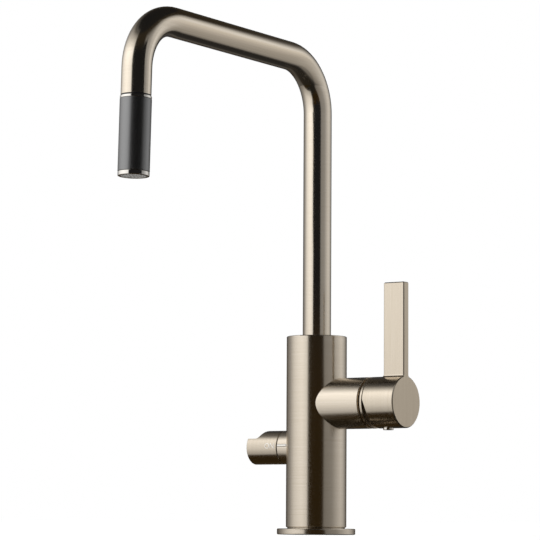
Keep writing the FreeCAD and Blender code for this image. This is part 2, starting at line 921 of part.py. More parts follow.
def docking_bush():
    bore = s.bush_bore / 2
    sleeve = tube_inner - s.fit_gap
    flange = tube_radius - s.bush_flange_inset
    flange_end = s.outlet_drop + s.bush_flange_thickness
    sleeve_top = s.outlet_drop - s.bush_length
    body = turned(
        "docking_bush",
        DOWN,
        [
            (sleeve_top, bore),
            (sleeve_top, sleeve),
            (s.outlet_drop, sleeve),
            (s.outlet_drop, flange),
            (flange_end, flange),
            (flange_end, bore),
        ],
    )
    return on_outlet(body)


def pullout_hose():
    return bent_pipe("pullout_hose", s.hose_tail_height, nut_top, hose_radius, s.hose_bore / 2)


def tail_ferrule():
    end = s.hose_tail_height + s.tail_ferrule_length
    return tube("tail_ferrule", UP, s.hose_tail_height, end, hose_radius + s.fit_gap, ferrule_radius)


# Pull-out head

def head_ferrule():
    start = nut_top - s.head_ferrule_length
    return on_outlet(tube("head_ferrule", DOWN, start, nut_top, hose_radius + s.fit_gap, ferrule_radius))


def hose_nut():
    bore = s.hose_bore / 2
    thread = neck_bore - s.fit_gap
    body = turned(
        "hose_nut",
        DOWN,
        [
            (nut_top, bore),
            (nut_top, s.nut_top_diameter / 2),
            (nut_top + s.nut_taper, neck_radius),
            (neck_top, neck_radius),
            (neck_top, thread),
            (nut_end, thread),
            (nut_end, bore),
        ],
    )
    return on_outlet(body)


def nut_washer():
    outer = neck_bore - s.fit_gap
    return on_outlet(tube("nut_washer", DOWN, nut_end, inlet_floor, s.nut_washer_bore / 2, outer))


def head_core():
    """Metal barrel of the head: neck for the hose nut, check valve chamber and aerator seat."""
    body = turned(
        "head_core",
        DOWN,
        [
            (neck_top, neck_bore),
            (neck_top, neck_radius),
            (collar_end, neck_radius),
            (collar_end, barrel_radius),
            (barrel_end, barrel_radius),
            (barrel_end, aerator_bore),
            (aerator_seat, aerator_bore),
            (aerator_seat, chamber_radius),
            (chamber_top, chamber_radius),
            (chamber_top, s.nut_washer_bore / 2),
            (inlet_floor, s.nut_washer_bore / 2),
            (inlet_floor, neck_bore),
        ],
    )
    return on_outlet(body)


def head_collar():
    outer = s.collar_diameter / 2
    body = tube("head_collar", DOWN, collar_top, collar_end, neck_radius + s.fit_gap, outer)
    soften(body, s.collar_edge, rim_at(outer))
    return on_outlet(body)


def grip_sleeve():
    outer = s.grip_diameter / 2
    body = tube("grip_sleeve", DOWN, collar_end, grip_end, grip_bore, outer)
    soften(body, s.grip_edge, rim_at(outer))
    return on_outlet(body)


def nozzle_ring():
    """Ring screwed on the barrel's end; its lip holds the aerator."""
    outer = s.collar_diameter / 2
    lip_start = aerator_flange_end + s.fit_gap
    lip = aerator_radius + s.free_gap
    body = turned(
        "nozzle_ring",
        DOWN,
        [
            (grip_end, grip_bore),
            (grip_end, outer),
            (nozzle_end, outer),
            (nozzle_end, lip),
            (lip_start, lip),
            (lip_start, grip_bore),
        ],
    )
    soften(body, s.nozzle_edge, rim_at(outer))
    return on_outlet(body)


def aerator():
    """Insert with rings of jet holes, trapped between the barrel and the nozzle ring."""
    top = aerator_seat + s.aerator_gasket_thickness
    body = turned(
        "aerator",
        DOWN,
        [
            (top, 0),
            (top, aerator_radius),
            (aerator_shoulder, aerator_radius),
            (aerator_shoulder, aerator_flange_radius),
            (aerator_flange_end, aerator_flange_radius),
            (aerator_flange_end, aerator_radius),
            (aerator_face, aerator_radius),
            (aerator_face, 0),
        ],
    )
    holes = [(0, 0)]
    for ring in range(1, AERATOR_RING_COUNT + 1):
        count = FIRST_RING_HOLE_COUNT * ring
        for hole in range(count):
            angle = as_size(FULL_TURN * hole / count)
            radius = s.aerator_hole_pitch * ring
            holes.append((radius * cosine(angle), radius * sine(angle)))
    drill(
        body,
        "XY_Plane",
        holes,
        s.aerator_hole_diameter / 2,
        s.aerator_hole_depth,
        lift=-aerator_face,
        backwards=True,
    )
    return on_outlet(body)


def aerator_gasket():
    end = aerator_seat + s.aerator_gasket_thickness
    inner = aerator_radius - s.aerator_gasket_width
    return on_outlet(tube("aerator_gasket", DOWN, aerator_seat, end, inner, aerator_radius))


def check_valve():
    end = chamber_top + s.check_valve_length
    outer = chamber_radius - s.fit_gap
    return on_outlet(tube("check_valve", DOWN, chamber_top, end, s.check_valve_bore / 2, outer))


# Mixing cartridge

def cartridge_base():
    body = disc("cartridge_base", RIGHT, base_start, base_end, cartridge_radius)
    inlets, outlet = seat_ports(as_size(0))
    ports = [*inlets, outlet]
    seal_radius = s.base_seal_diameter / 2
    drill(body, "YZ_Plane", ports, seal_radius, s.base_seal_depth, lift=base_start, backwards=True)
    drill(body, "YZ_Plane", ports, waterway, lift=base_end)
    return on_handle_axis(body)


def cartridge_seals():
    """Three ring seals between the core's seat and the cartridge's base."""
    body = new_body("cartridge_seals")
    inlets, outlet = seat_ports(as_size(0))
    sketch = new_sketch(body, "YZ_Plane", lift=s.cartridge_seat)
    for across, up in [*inlets, outlet]:
        circle(sketch, across, up, s.base_seal_diameter / 2 - s.fit_gap)
        circle(sketch, across, up, waterway)
    extrude(body, "Pad", sketch, s.base_seal_gap + s.base_seal_depth)
    return on_handle_axis(body)


def fixed_disc():
    body = disc("fixed_disc", RIGHT, base_end, fixed_disc_end, housing_inner - s.fit_gap)
    inlets, outlet = seat_ports(as_size(0))
    drill(body, "YZ_Plane", [*inlets, outlet], waterway, lift=fixed_disc_end)
    return on_handle_axis(body)


def mixing_disc():
    """Moving ceramic disc, with the mixing recess in its sealing face."""
    body = disc("mixing_disc", RIGHT, mixing_start, driver_start, s.mixing_disc_diameter / 2)
    recess = s.mixing_recess_diameter / 2
    drill(body, "YZ_Plane", [(0, 0)], recess, s.mixing_recess_depth, lift=mixing_start, backwards=True)
    return on_handle_axis(body)


def disc_driver():
    outer = s.mixing_disc_diameter / 2
    bore = ball_radius + s.driver_socket_slack
    return on_handle_axis(tube("disc_driver", RIGHT, driver_start, driver_end, bore, outer))


def cartridge_housing():
    shoulder = carrier_start - s.free_gap
    lip_start = housing_end - s.housing_lip
    opening = s.housing_opening / 2
    body = turned(
        "cartridge_housing",
        RIGHT,
        [
            (base_end, housing_inner),
            (base_end, cartridge_radius),
            (housing_end, cartridge_radius),
            (housing_end, opening),
            (lip_start, opening),
            (lip_start, carrier_bore),
            (shoulder, carrier_bore),
            (shoulder, housing_inner),
        ],
    )
    return on_handle_axis(body)


def lever_carrier():
    """Turns with the lever to set the temperature; its slot lets the stem tilt about the pin."""
    body = disc("lever_carrier", RIGHT, carrier_start, carrier_end, carrier_radius)
    slot = new_sketch(body, "YZ_Plane", lift=carrier_end)
    rectangle(slot, stem_radius + s.free_gap, s.carrier_slot_height / 2)
    extrude(body, "Pocket", slot)
    hole = new_sketch(body, "XZ_Plane")
    circle(hole, pivot, 0, pin_radius + s.fit_gap)
    extrude(body, "Pocket", hole, both_ways=True)
    return on_handle_axis(body)


def stem_pin():
    half_length = carrier_radius - s.pin_inset
    body = disc("stem_pin", UP, -half_length, half_length, pin_radius)
    return tipped(body, -QUARTER_TURN, pivot, s.handle_height)


def lever_stem():
    """Stem on the pin: a ball that pushes the disc driver inside, a square that holds the handle outside."""
    body = new_body("lever_stem")
    neck = s.stem_neck_diameter / 2
    neck_end = ball_centre + s.stem_neck_length
    shaft_start = neck_end + s.stem_taper
    revolve(
        body,
        "Revolution",
        RIGHT,
        [
            (ball_centre, 0),
            (ball_centre, neck),
            (neck_end, neck),
            (shaft_start, stem_radius),
            (housing_end, stem_radius),
            (housing_end, 0),
        ],
    )
    ball = body.newObject("PartDesign::AdditiveSphere", "stem_ball")
    bind(ball, "Radius", ball_radius)
    bind(ball, "Placement.Base.x", ball_centre)
    finish_feature(body, ball, cuts=False)
    half = s.stem_square / 2
    square = new_sketch(body, "YZ_Plane", lift=housing_end)
    rectangle(square, half, half)
    extrude(body, "Pad", square, stem_end - housing_end)
    hole = new_sketch(body, "XZ_Plane")
    circle(hole, pivot, 0, pin_radius + s.turn_gap)
    extrude(body, "Pocket", hole, both_ways=True)
    return on_handle_axis(body)


def cartridge_nut():
    body = tube("cartridge_nut", RIGHT, housing_end, nut_end_place, s.nut_bore / 2, nut_radius)
    return on_handle_axis(body)


# Handle

def cover_ring():
    """Screwed into the boss on top of the nut, with a rim as wide as the boss."""
    bore = s.ring_bore / 2
    body = turned(
        "cover_ring",
        RIGHT,
        [
            (nut_end_place, bore),
            (nut_end_place, nut_radius),
            (ring_start, nut_radius),
            (ring_start, handle_radius),
            (ring_end, handle_radius),
            (ring_end, bore),
        ],
    )
    soften(body, s.ring_edge, rim_at(handle_radius))
    return on_handle_axis(body)


def tilt_relief(body):
    """Side view of what is cut off the handle's inner end: an arc that runs out straight down."""
    start = (handle_start, s.relief_rise)
    centre_across = handle_start - s.relief_radius * cosine(s.relief_angle)
    centre_up = s.relief_rise - s.relief_radius * sine(s.relief_angle)
    deepest = (centre_across + s.relief_radius, centre_up)
    before = handle_start - s.handle_gap
    below = centre_up - handle_radius
    sketch = new_sketch(body, "XZ_Plane")
    add_arc(sketch, (centre_across, centre_up), deepest, start, s.relief_radius)
    add_run(sketch, start, (before, s.relief_rise))
    add_run(sketch, (before, s.relief_rise), (before, below))
    add_run(sketch, (before, below), (deepest[0], below))
    add_run(sketch, (deepest[0], below), deepest)
    return sketch


def lever_handle():
    """Round handle with its flat lever in one casting, cut back below so that it can tilt."""
    body = disc("lever_handle", RIGHT, handle_start, handle_end, handle_radius)
    lever_start = handle_end - s.lever_width
    half = s.lever_thickness / 2
    bar = new_sketch(body, "XY_Plane")
    outline(bar, [(lever_start, -half), (handle_end, -half), (handle_end, half), (lever_start, half)])
    extrude(body, "Pad", bar, s.lever_length)

    def is_inner_corner(edge):
        box = edge.BoundBox
        upright = is_near(box.YMin, box.YMax) and box.ZLength > handle_radius.number
        return upright and is_near(box.XMin, lever_start.number) and is_near(box.XMax, lever_start.number)

    def is_root(edge):
        box = edge.BoundBox
        across = box.XMin > lever_start.number - TOLERANCE and not is_near(box.XMin, handle_end.number)
        within = max(abs(box.YMin), abs(box.YMax)) < half.number + TOLERANCE
        return across and within and half.number < box.ZMin and box.ZMax < handle_radius.number + TOLERANCE

    def is_outer_or_top(edge):
        box = edge.BoundBox
        outer = is_near(box.XMin, handle_end.number) and is_near(box.XMax, handle_end.number)
        return outer or is_near(box.ZMin, s.lever_length.number)

    soften(body, s.lever_edge, is_inner_corner)
    soften(body, s.lever_root, is_root)
    bevel(body, s.handle_edge, is_outer_or_top)

    inner = handle_radius - s.handle_wall
    cavity = [(handle_start, 0), (handle_start, inner), (cavity_end, inner), (cavity_end, 0)]
    revolve(body, "Groove", RIGHT, cavity)
    socket = new_sketch(body, "YZ_Plane", lift=cavity_end)
    rectangle(socket, socket_half, socket_half)
    extrude(body, "Pocket", socket, s.stem_in_handle + s.free_gap, backwards=True)

    extrude(body, "Pocket", tilt_relief(body), both_ways=True)
    screw_place = [(handle_screw_across, 0)]
    drill(body, "XY_Plane", screw_place, s.handle_screw_diameter / 2 + s.fit_gap)
    drill(body, "XY_Plane", screw_place, cap_radius + s.fit_gap, lift=-cap_floor)
    return on_handle_axis(body)


def handle_screw():
    start = socket_half + s.fit_gap
    end = start + s.handle_screw_length
    radius = s.handle_screw_diameter / 2
    body = turned(
        "handle_screw",
        UP,
        [
            (start, 0),
            (start, radius),
            (end, radius),
            (end, s.hex_socket_diameter / 2),
            (end - s.hex_socket_depth, s.hex_socket_diameter / 2),
            (end - s.hex_socket_depth, 0),
        ],
    )
    return tipped(body, HALF_TURN, handle_screw_across, s.handle_height)


def screw_cap():
    top = handle_radius + s.cap_stand
    body = disc("screw_cap", UP, cap_floor, top, cap_radius)
    soften(body, s.cap_edge, rim_at(cap_radius, z=top))
    return tipped(body, HALF_TURN, handle_screw_across, s.handle_height)


# Dishwasher valve

def valve_seat_seal():
    bore = s.valve_seal_bore / 2
    return on_valve_axis(tube("valve_seat_seal", LEFT, s.valve_seat, valve_seal_end, bore, disc_chamber))


def valve_disc(label, start, end, place):
    """Ceramic disc with one window off its centre."""
    body = disc(label, LEFT, start, end, valve_disc_radius)
    drill(body, "YZ_Plane", [place], s.valve_window_diameter / 2, lift=-start)
    return on_valve_axis(body)


def valve_fixed_disc():
    return valve_disc("valve_fixed_disc", valve_seal_end, valve_fixed_end, (0, s.valve_window_offset))


def valve_moving_disc():
    return valve_disc("valve_moving_disc", valve_moving_start, spindle_start, (0, s.valve_window_offset))


def valve_headwork():
    o_ring_radius = spindle_bore + s.o_ring_section
    gland = s.gland_diameter / 2
    body = turned(
        "valve_headwork",
        LEFT,
        [
            (valve_seal_end, disc_chamber),
            (valve_seal_end, barrel_outer),
            (headwork_shoulder, barrel_outer),
            (headwork_shoulder, headwork_radius),
            (valve_boss_end, headwork_radius),
            (valve_boss_end, gland),
            (gland_end, gland),
            (gland_end, spindle_bore),
            (o_ring_end, spindle_bore),
            (o_ring_end, o_ring_radius),
            (o_ring_start, o_ring_radius),
            (o_ring_start, spindle_bore),
            (disc_chamber_end, spindle_bore),
            (disc_chamber_end, disc_chamber),
        ],
    )
    return on_valve_axis(body)


def spindle_o_ring():
    outer = spindle_bore + s.o_ring_section
    start = o_ring_start + s.fit_gap
    end = o_ring_end - s.fit_gap
    return on_valve_axis(tube("spindle_o_ring", LEFT, start, end, spindle_bore, outer - s.fit_gap))


def valve_spindle():
    body = turned(
        "valve_spindle",
        LEFT,
        [
            (spindle_start, 0),
            (spindle_start, valve_disc_radius),
            (spindle_flange_end, valve_disc_radius),
            (spindle_flange_end, spindle_radius),
            (spindle_end, spindle_radius),
            (spindle_end, 0),
        ],
    )
    return on_valve_axis(body)


def thumb_scoop(body):
    """Side view of what is cut off the knob's end: a flat that rises to the knob's top in an S."""
    flat = s.flat_height
    top = valve_boss_radius + s.fit_gap
    outside = valve_boss_radius + s.free_gap
    past_end = -(knob_end + s.free_gap)
    root_start = -(knob_end - s.flat_length)
    root_end = root_start + s.ramp_root * sine(s.ramp_angle)
    root_rise = s.ramp_root * (as_size(1) - cosine(s.ramp_angle))
    crest_drop = s.ramp_crest * (as_size(1) - cosine(s.ramp_angle))
    crest_start = root_end + (top - flat - root_rise - crest_drop) / tangent(s.ramp_angle)
    crest_end = crest_start + s.ramp_crest * sine(s.ramp_angle)
    sketch = new_sketch(body, "XZ_Plane")
    add_run(sketch, (past_end, flat), (root_start, flat))
    root_centre = (root_start, flat + s.ramp_root)
    add_arc(sketch, root_centre, (root_start, flat), (root_end, flat + root_rise), s.ramp_root)
    add_run(sketch, (root_end, flat + root_rise), (crest_start, top - crest_drop))
    crest_centre = (crest_end, top - s.ramp_crest)
    add_arc(sketch, crest_centre, (crest_end, top), (crest_start, top - crest_drop), s.ramp_crest)
    add_run(sketch, (crest_end, top), (crest_end, outside))
    add_run(sketch, (crest_end, outside), (past_end, outside))
    add_run(sketch, (past_end, outside), (past_end, flat))
    return sketch


def valve_knob():
    """Round knob with a thumb flat that ramps up from its end."""
    inner = valve_boss_radius - s.knob_wall
    socket_end = spindle_end + s.free_gap
    body = turned(
        "valve_knob",
        LEFT,
        [
            (knob_start, inner),
            (knob_start, valve_boss_radius),
            (knob_end, valve_boss_radius),
            (knob_end, 0),
            (socket_end, 0),
            (socket_end, knob_bore),
            (knob_cavity_end, knob_bore),
            (knob_cavity_end, inner),
        ],
    )
    soften(body, s.knob_rim, rim_at(valve_boss_radius, x=-knob_start))
    extrude(body, "Pocket", thumb_scoop(body), both_ways=True)

    def is_end_edge(edge):
        box = edge.BoundBox
        return is_near(box.XMin, -knob_end.number) and is_near(box.XMax, -knob_end.number)

    soften(body, s.knob_end_edge, is_end_edge)
    drill(body, "XY_Plane", [(-knob_screw_across, 0)], s.knob_screw_diameter / 2 + s.fit_gap)
    return on_valve_axis(body)


def knob_screw():
    start = knob_bore + s.fit_gap
    end = start + s.knob_screw_length
    radius = s.knob_screw_diameter / 2
    body = turned(
        "knob_screw",
        UP,
        [
            (start, 0),
            (start, radius),
            (end, radius),
            (end, s.hex_socket_diameter / 2),
            (end - s.hex_socket_depth, s.hex_socket_diameter / 2),
            (end - s.hex_socket_depth, 0),
        ],
    )
    return tipped(body, HALF_TURN, -knob_screw_across, s.valve_height)


PIECES = [
    deck_plate,
    deck_seal,
    body_shell,
    waterway_core,
    hose_guide,
    thrust_washer,
    lower_glide_ring,
    upper_glide_ring,
    spout_foot,
    retaining_screw,
    spout_tube,
    docking_bush,
    pullout_hose,
    tail_ferrule,
    head_ferrule,
    hose_nut,
    nut_washer,
    head_core,
    head_collar,
    grip_sleeve,
    nozzle_ring,
    aerator,
    aerator_gasket,
    check_valve,
    cartridge_base,
    cartridge_seals,
    fixed_disc,
    mixing_disc,
    disc_driver,
    cartridge_housing,
    lever_carrier,
    stem_pin,
    lever_stem,
    cartridge_nut,
    cover_ring,
    lever_handle,
    handle_screw,
    screw_cap,
    valve_seat_seal,
    valve_fixed_disc,
    valve_moving_disc,
    valve_headwork,
    spindle_o_ring,
    valve_spindle,
    valve_knob,
    knob_screw,
]

bodies = [make() for make in PIECES]
doc.recompute()

for item in doc.Objects:
    if "Invalid" in item.State or "Error" in item.State:
        raise ValueError(f"{item.Label} failed: {item.State}")
for body in bodies:
    if body.Shape.isNull() or not body.Shape.isValid() or not body.Shape.Solids:
        raise ValueError(f"{body.Label} has no valid solid")

os.makedirs("parts", exist_ok=True)
for body in bodies:
    body.Shape.exportStep(f"parts/{body.Label}.step")
    print(f"{body.Label}: {len(body.Shape.Solids)} solid(s), {body.Shape.Volume:.1f} mm3")
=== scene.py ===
# %% [markdown]
# # A pull-out kitchen faucet, dressed for the camera
#
# The solids of this faucet come from its CAD model, which is already packed with its joints. This lesson
# loads them as a fixed frame, gives every piece the finish of its real material, and adds the few things
# that a solid model leaves out: the braid of the hose, the word on the side valve and the mark beside it.
# Lengths are in metres, as Blender counts them, so a millimetre gets a name of its own first.

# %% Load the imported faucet
import json
import math

import bmesh
import bpy
from mathutils import Matrix, Vector


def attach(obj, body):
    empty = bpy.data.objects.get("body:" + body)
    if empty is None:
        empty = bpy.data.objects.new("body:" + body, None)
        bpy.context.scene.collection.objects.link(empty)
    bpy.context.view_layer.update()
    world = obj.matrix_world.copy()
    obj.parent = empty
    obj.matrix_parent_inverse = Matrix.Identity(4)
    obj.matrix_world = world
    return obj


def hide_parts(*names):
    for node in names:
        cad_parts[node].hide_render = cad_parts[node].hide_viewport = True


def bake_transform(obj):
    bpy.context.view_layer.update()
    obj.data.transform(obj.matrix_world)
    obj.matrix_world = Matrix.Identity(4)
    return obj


MM = 0.001

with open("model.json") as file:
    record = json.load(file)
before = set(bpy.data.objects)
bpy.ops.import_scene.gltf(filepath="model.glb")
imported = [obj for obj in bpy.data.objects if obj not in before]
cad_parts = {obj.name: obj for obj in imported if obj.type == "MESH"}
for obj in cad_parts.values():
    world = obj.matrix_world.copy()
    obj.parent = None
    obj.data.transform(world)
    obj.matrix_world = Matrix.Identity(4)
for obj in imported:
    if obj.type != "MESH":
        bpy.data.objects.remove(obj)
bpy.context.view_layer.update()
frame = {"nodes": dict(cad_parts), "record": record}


# %% [markdown]
# ## The camera
#
# The picture was taken from far away with a long lens, a little above the worktop and turned a little more
# than a third of a right angle round to the lever's side. The lens is given in millimetres for a 36 mm wide
# film, which is Blender's own measure. The camera looks slightly up, and with so long a lens a vertical tube
# still stays nearly vertical in the picture. A camera could follow a target. This one is placed by measured
# angles, because that matches a picture more closely.

# %% Place the camera
CAMERA_AROUND = math.radians(34.48)
CAMERA_DISTANCE = 2107.35 * MM
CAMERA_HEIGHT = 15.27 * MM
CAMERA_PITCH = math.radians(5.65)
CAMERA_YAW = math.radians(1.09)
CAMERA_ROLL = math.radians(0.34)
FOCAL_LENGTH = 165.844
FILM_WIDTH = 36.0
FARTHEST_SEEN = 50.0


def put_in_scene(name, data):
    """Make an object of a camera, mesh or curve and link it to the scene."""
    piece = bpy.data.objects.new(name, data)
    bpy.context.scene.collection.objects.link(piece)
    return piece


camera_lens = bpy.data.cameras.new("long_lens")
camera_lens.lens = FOCAL_LENGTH
camera_lens.sensor_width = FILM_WIDTH
camera_lens.clip_end = FARTHEST_SEEN
camera = put_in_scene("camera", camera_lens)
to_camera = Vector((math.sin(CAMERA_AROUND), -math.cos(CAMERA_AROUND), 0.0))
camera_place = to_camera * CAMERA_DISTANCE
camera_place.z = CAMERA_HEIGHT
turn = Matrix.Rotation(CAMERA_AROUND + CAMERA_YAW, 4, "Z")
raise_up = Matrix.Rotation(math.radians(90.0) + CAMERA_PITCH, 4, "X")
roll = Matrix.Rotation(CAMERA_ROLL, 4, "Z")
camera.matrix_world = Matrix.Translation(camera_place) @ turn @ raise_up @ roll
bpy.context.scene.camera = camera
print("camera at", [round(value, 3) for value in camera.matrix_world.translation])


# %% [markdown]
# ## Helpers for colour and nodes
#
# Colours are easy to pick as sRGB hex values, but a shader counts light in linear numbers, so one function
# turns the first into the second. Nodes could be added one line at a time. A small function that takes the
# node's settings and its links keeps each finish short enough to read as a recipe. A mix node has sockets
# for numbers and sockets for colours under the same names, so these go by their place in the list.

# %% Write the helpers
MIX_FACTOR = 0
MIX_NUMBER_A = 2
MIX_NUMBER_B = 3
MIX_COLOUR_A = 6
MIX_COLOUR_B = 7
MIXED_NUMBER = 0
MIXED_COLOUR = 2
WHITE = "#FFFFFF"


def linear(hex_colour):
    """Turn an sRGB hex colour such as #C8B8A0 into linear red, green, blue and alpha."""
    channels = [int(hex_colour[start:start + 2], 16) / 255.0 for start in (1, 3, 5)]
    light = [c / 12.92 if c <= 0.04045 else ((c + 0.055) / 1.055) ** 2.4 for c in channels]
    return (*light, 1.0)


def add_node(tree, kind, settings=None, links=None):
    """Add one node: settings go to its sockets or its own properties, links join its sockets to outputs."""
    node = tree.nodes.new(kind)
    for key, value in (settings or {}).items():
        if isinstance(key, int) or key in node.inputs:
            node.inputs[key].default_value = value
        else:
            setattr(node, key, value)
    for key, output in (links or {}).items():
        tree.links.new(output, node.inputs[key])
    return node


def set_stops(ramp_node, stops):
    """Give a colour ramp one stop for each pair of place and colour."""
    elements = ramp_node.color_ramp.elements
    while len(elements) > 1:
        elements.remove(elements[-1])
    for number, (position, colour) in enumerate(stops):
        element = elements[0] if number == 0 else elements.new(position)
        element.position = position
        element.color = colour


def blank_finish(name):
    """Make a material with an empty node tree."""
    finish = bpy.data.materials.new(name)
    finish.use_nodes = True
    finish.node_tree.nodes.clear()
    return finish


print("white in linear light:", linear(WHITE))


# %% [markdown]
# ## The studio
#
# Brushed metal shows its surroundings more than its own colour, so the surroundings are designed first. In
# the picture each upright tube has a dark stripe down the middle, where it mirrors the dark side of the
# studio behind the camera, and a bright stripe on each side, where it mirrors a tall softbox. Lying tubes
# are dark on top and below, so the softboxes have a top edge and a bottom edge. Lamps could be placed one by
# one. Here one round screen stands about the faucet and glows where the softboxes are, brightest at their
# middle. It is near enough that the spout's end sees it at another angle than the body does. The camera
# looks through the screen and sees plain white behind the faucet.

# %% Stand the screen around the faucet
SCREEN_RADIUS = 700 * MM
SCREEN_FOOT = -900 * MM
SCREEN_TOP = 1500 * MM
SCREEN_SIDES = 96


def mesh_from(name, shape):
    """Turn a finished bmesh into a mesh, and free the bmesh."""
    mesh = bpy.data.meshes.new(name)
    shape.to_mesh(mesh)
    shape.free()
    return mesh


def light_only(piece):
    """Let a thing of the studio light the faucet, unseen by the camera and without a shadow."""
    piece.visible_camera = False
    piece.visible_shadow = False


screen_shape = bmesh.new()
low_ring = []
high_ring = []
for number in range(SCREEN_SIDES):
    angle = 2.0 * math.pi * number / SCREEN_SIDES
    x = SCREEN_RADIUS * math.cos(angle)
    y = SCREEN_RADIUS * math.sin(angle)
    low_ring.append(screen_shape.verts.new((x, y, SCREEN_FOOT)))
    high_ring.append(screen_shape.verts.new((x, y, SCREEN_TOP)))
for number in range(SCREEN_SIDES):
    following = (number + 1) % SCREEN_SIDES
    corners = (low_ring[number], high_ring[number], high_ring[following], low_ring[following])
    screen_shape.faces.new(corners)
screen_mesh = mesh_from("softbox_screen", screen_shape)
screen = put_in_scene("softbox_screen", screen_mesh)
light_only(screen)
print("screen of", SCREEN_SIDES, "sides,", SCREEN_RADIUS, "m from the faucet")


# %% [markdown]
# The screen's glow is drawn by two facts about a place on it: how far round it is from the camera, in degrees
# with the right side positive, and how high it is, in millimetres above the worktop. A radial gradient gives
# the first, and the coordinates give the second. An area of the screen has one colour ramp for each fact,
# and the two are multiplied, so that it can fade out on all four sides.

# %% Measure the screen
screen_finish = blank_finish("softbox_cloth")
screen_tree = screen_finish.node_tree
place = add_node(screen_tree, "ShaderNodeTexCoord")
facing_camera = add_node(
    screen_tree,
    "ShaderNodeVectorRotate",
    {"rotation_type": "Z_AXIS", "Angle": math.radians(90.0) - CAMERA_AROUND},
    {"Vector": place.outputs["Object"]},
)
round_screen = add_node(
    screen_tree,
    "ShaderNodeTexGradient",
    {"gradient_type": "RADIAL"},
    {"Vector": facing_camera.outputs["Vector"]},
)
upward = add_node(screen_tree, "ShaderNodeSeparateXYZ", links={"Vector": facing_camera.outputs["Vector"]})
up_screen = add_node(
    screen_tree,
    "ShaderNodeMapRange",
    {"From Min": SCREEN_FOOT, "From Max": SCREEN_TOP},
    {"Value": upward.outputs["Z"]},
)


def around_share(degrees):
    """Place of a compass direction on a ramp that runs once round the screen."""
    return 0.5 + degrees / 360.0


def height_share(millimetres):
    """Place of a height on a ramp that runs from the screen's foot to its top."""
    return (millimetres * MM - SCREEN_FOOT) / (SCREEN_TOP - SCREEN_FOOT)


def grey(level):
    """A grey of this linear level."""
    return (level, level, level, 1.0)


def screen_area(around_stops, height_stops):
    """Multiply a ramp round the screen by a ramp up it, and give the output with the area's strength."""
    across = add_node(screen_tree, "ShaderNodeValToRGB", links={"Fac": round_screen.outputs["Fac"]})
    set_stops(across, [(around_share(degrees), grey(level)) for degrees, level in around_stops])
    along = add_node(screen_tree, "ShaderNodeValToRGB", links={"Fac": up_screen.outputs["Result"]})
    set_stops(along, [(height_share(up), grey(level)) for up, level in height_stops])
    area = add_node(
        screen_tree,
        "ShaderNodeMath",
        {"operation": "MULTIPLY"},
        {0: across.outputs["Color"], 1: along.outputs["Color"]},
    )
    return area.outputs["Value"]


print("the worktop is", round(height_share(0.0), 3), "of the way up the screen")


# %% [markdown]
# Two softboxes stand left and right of the camera. Both reach round to the faucet's sides and fade towards
# its back. The left one is the brighter, and both are brightest above the height of the spout's arm.

# %% Light the softboxes
LEFT_AROUND = (
    (-160, 0.03),
    (-150, 0.08),
    (-118, 0.33),
    (-92, 0.78),
    (-72, 0.94),
    (-58, 1.0),
    (-36, 0.82),
    (-31, 0.0),
)
LEFT_HEIGHT = (
    (-470, 0.0),
    (-410, 0.34),
    (-170, 0.46),
    (0, 0.63),
    (200, 0.72),
    (440, 0.90),
    (560, 1.0),
    (660, 1.0),
    (900, 0.48),
    (1200, 0.06),
)
RIGHT_AROUND = (
    (24, 0.0),
    (28, 0.23),
    (60, 0.30),
    (78, 0.48),
    (100, 0.67),
    (109, 0.72),
    (122, 0.56),
    (134, 0.36),
    (156, 0.03),
)
RIGHT_HEIGHT = (
    (-300, 0.0),
    (-160, 0.44),
    (130, 0.64),
    (310, 0.74),
    (430, 0.70),
    (540, 0.80),
    (720, 0.84),
    (900, 0.38),
    (1020, 0.0),
)

left_glow = screen_area(LEFT_AROUND, LEFT_HEIGHT)
right_glow = screen_area(RIGHT_AROUND, RIGHT_HEIGHT)
both = add_node(screen_tree, "ShaderNodeMath", {"operation": "ADD"}, {0: left_glow, 1: right_glow})
print("softboxes glow from", LEFT_AROUND[0][0], "to", RIGHT_AROUND[-1][0], "degrees round the camera")


# %% [markdown]
# Between the softboxes the studio is dark, and the metal shows the tint of that darkness. It is warm at the
# height of the body, as a wooden floor would make it, neutral at the height of the spout, and a little warm
# again above that. Far down, in the middle and on the right, it is nearly neutral as well.

# %% Darken the rest of the screen
SOFTBOX_STRENGTH = 1.50
DARK_LOW = "#221909"
DARK_WARM = "#291F0F"
DARK_NEUTRAL = "#171718"
DARK_HIGH = "#28231B"
DARK_BY_HEIGHT = (
    (-150, DARK_WARM),
    (20, DARK_LOW),
    (205, DARK_WARM),
    (240, DARK_NEUTRAL),
    (650, DARK_NEUTRAL),
    (900, DARK_HIGH),
    (1150, DARK_HIGH),
    (1350, DARK_NEUTRAL),
)
DARK_FAR_DOWN = "#1D1C19"
FAR_DOWN_AROUND = ((-75, 0.0), (-50, 1.0))
FAR_DOWN_HEIGHT = ((-250, 1.0), (-60, 0.0))

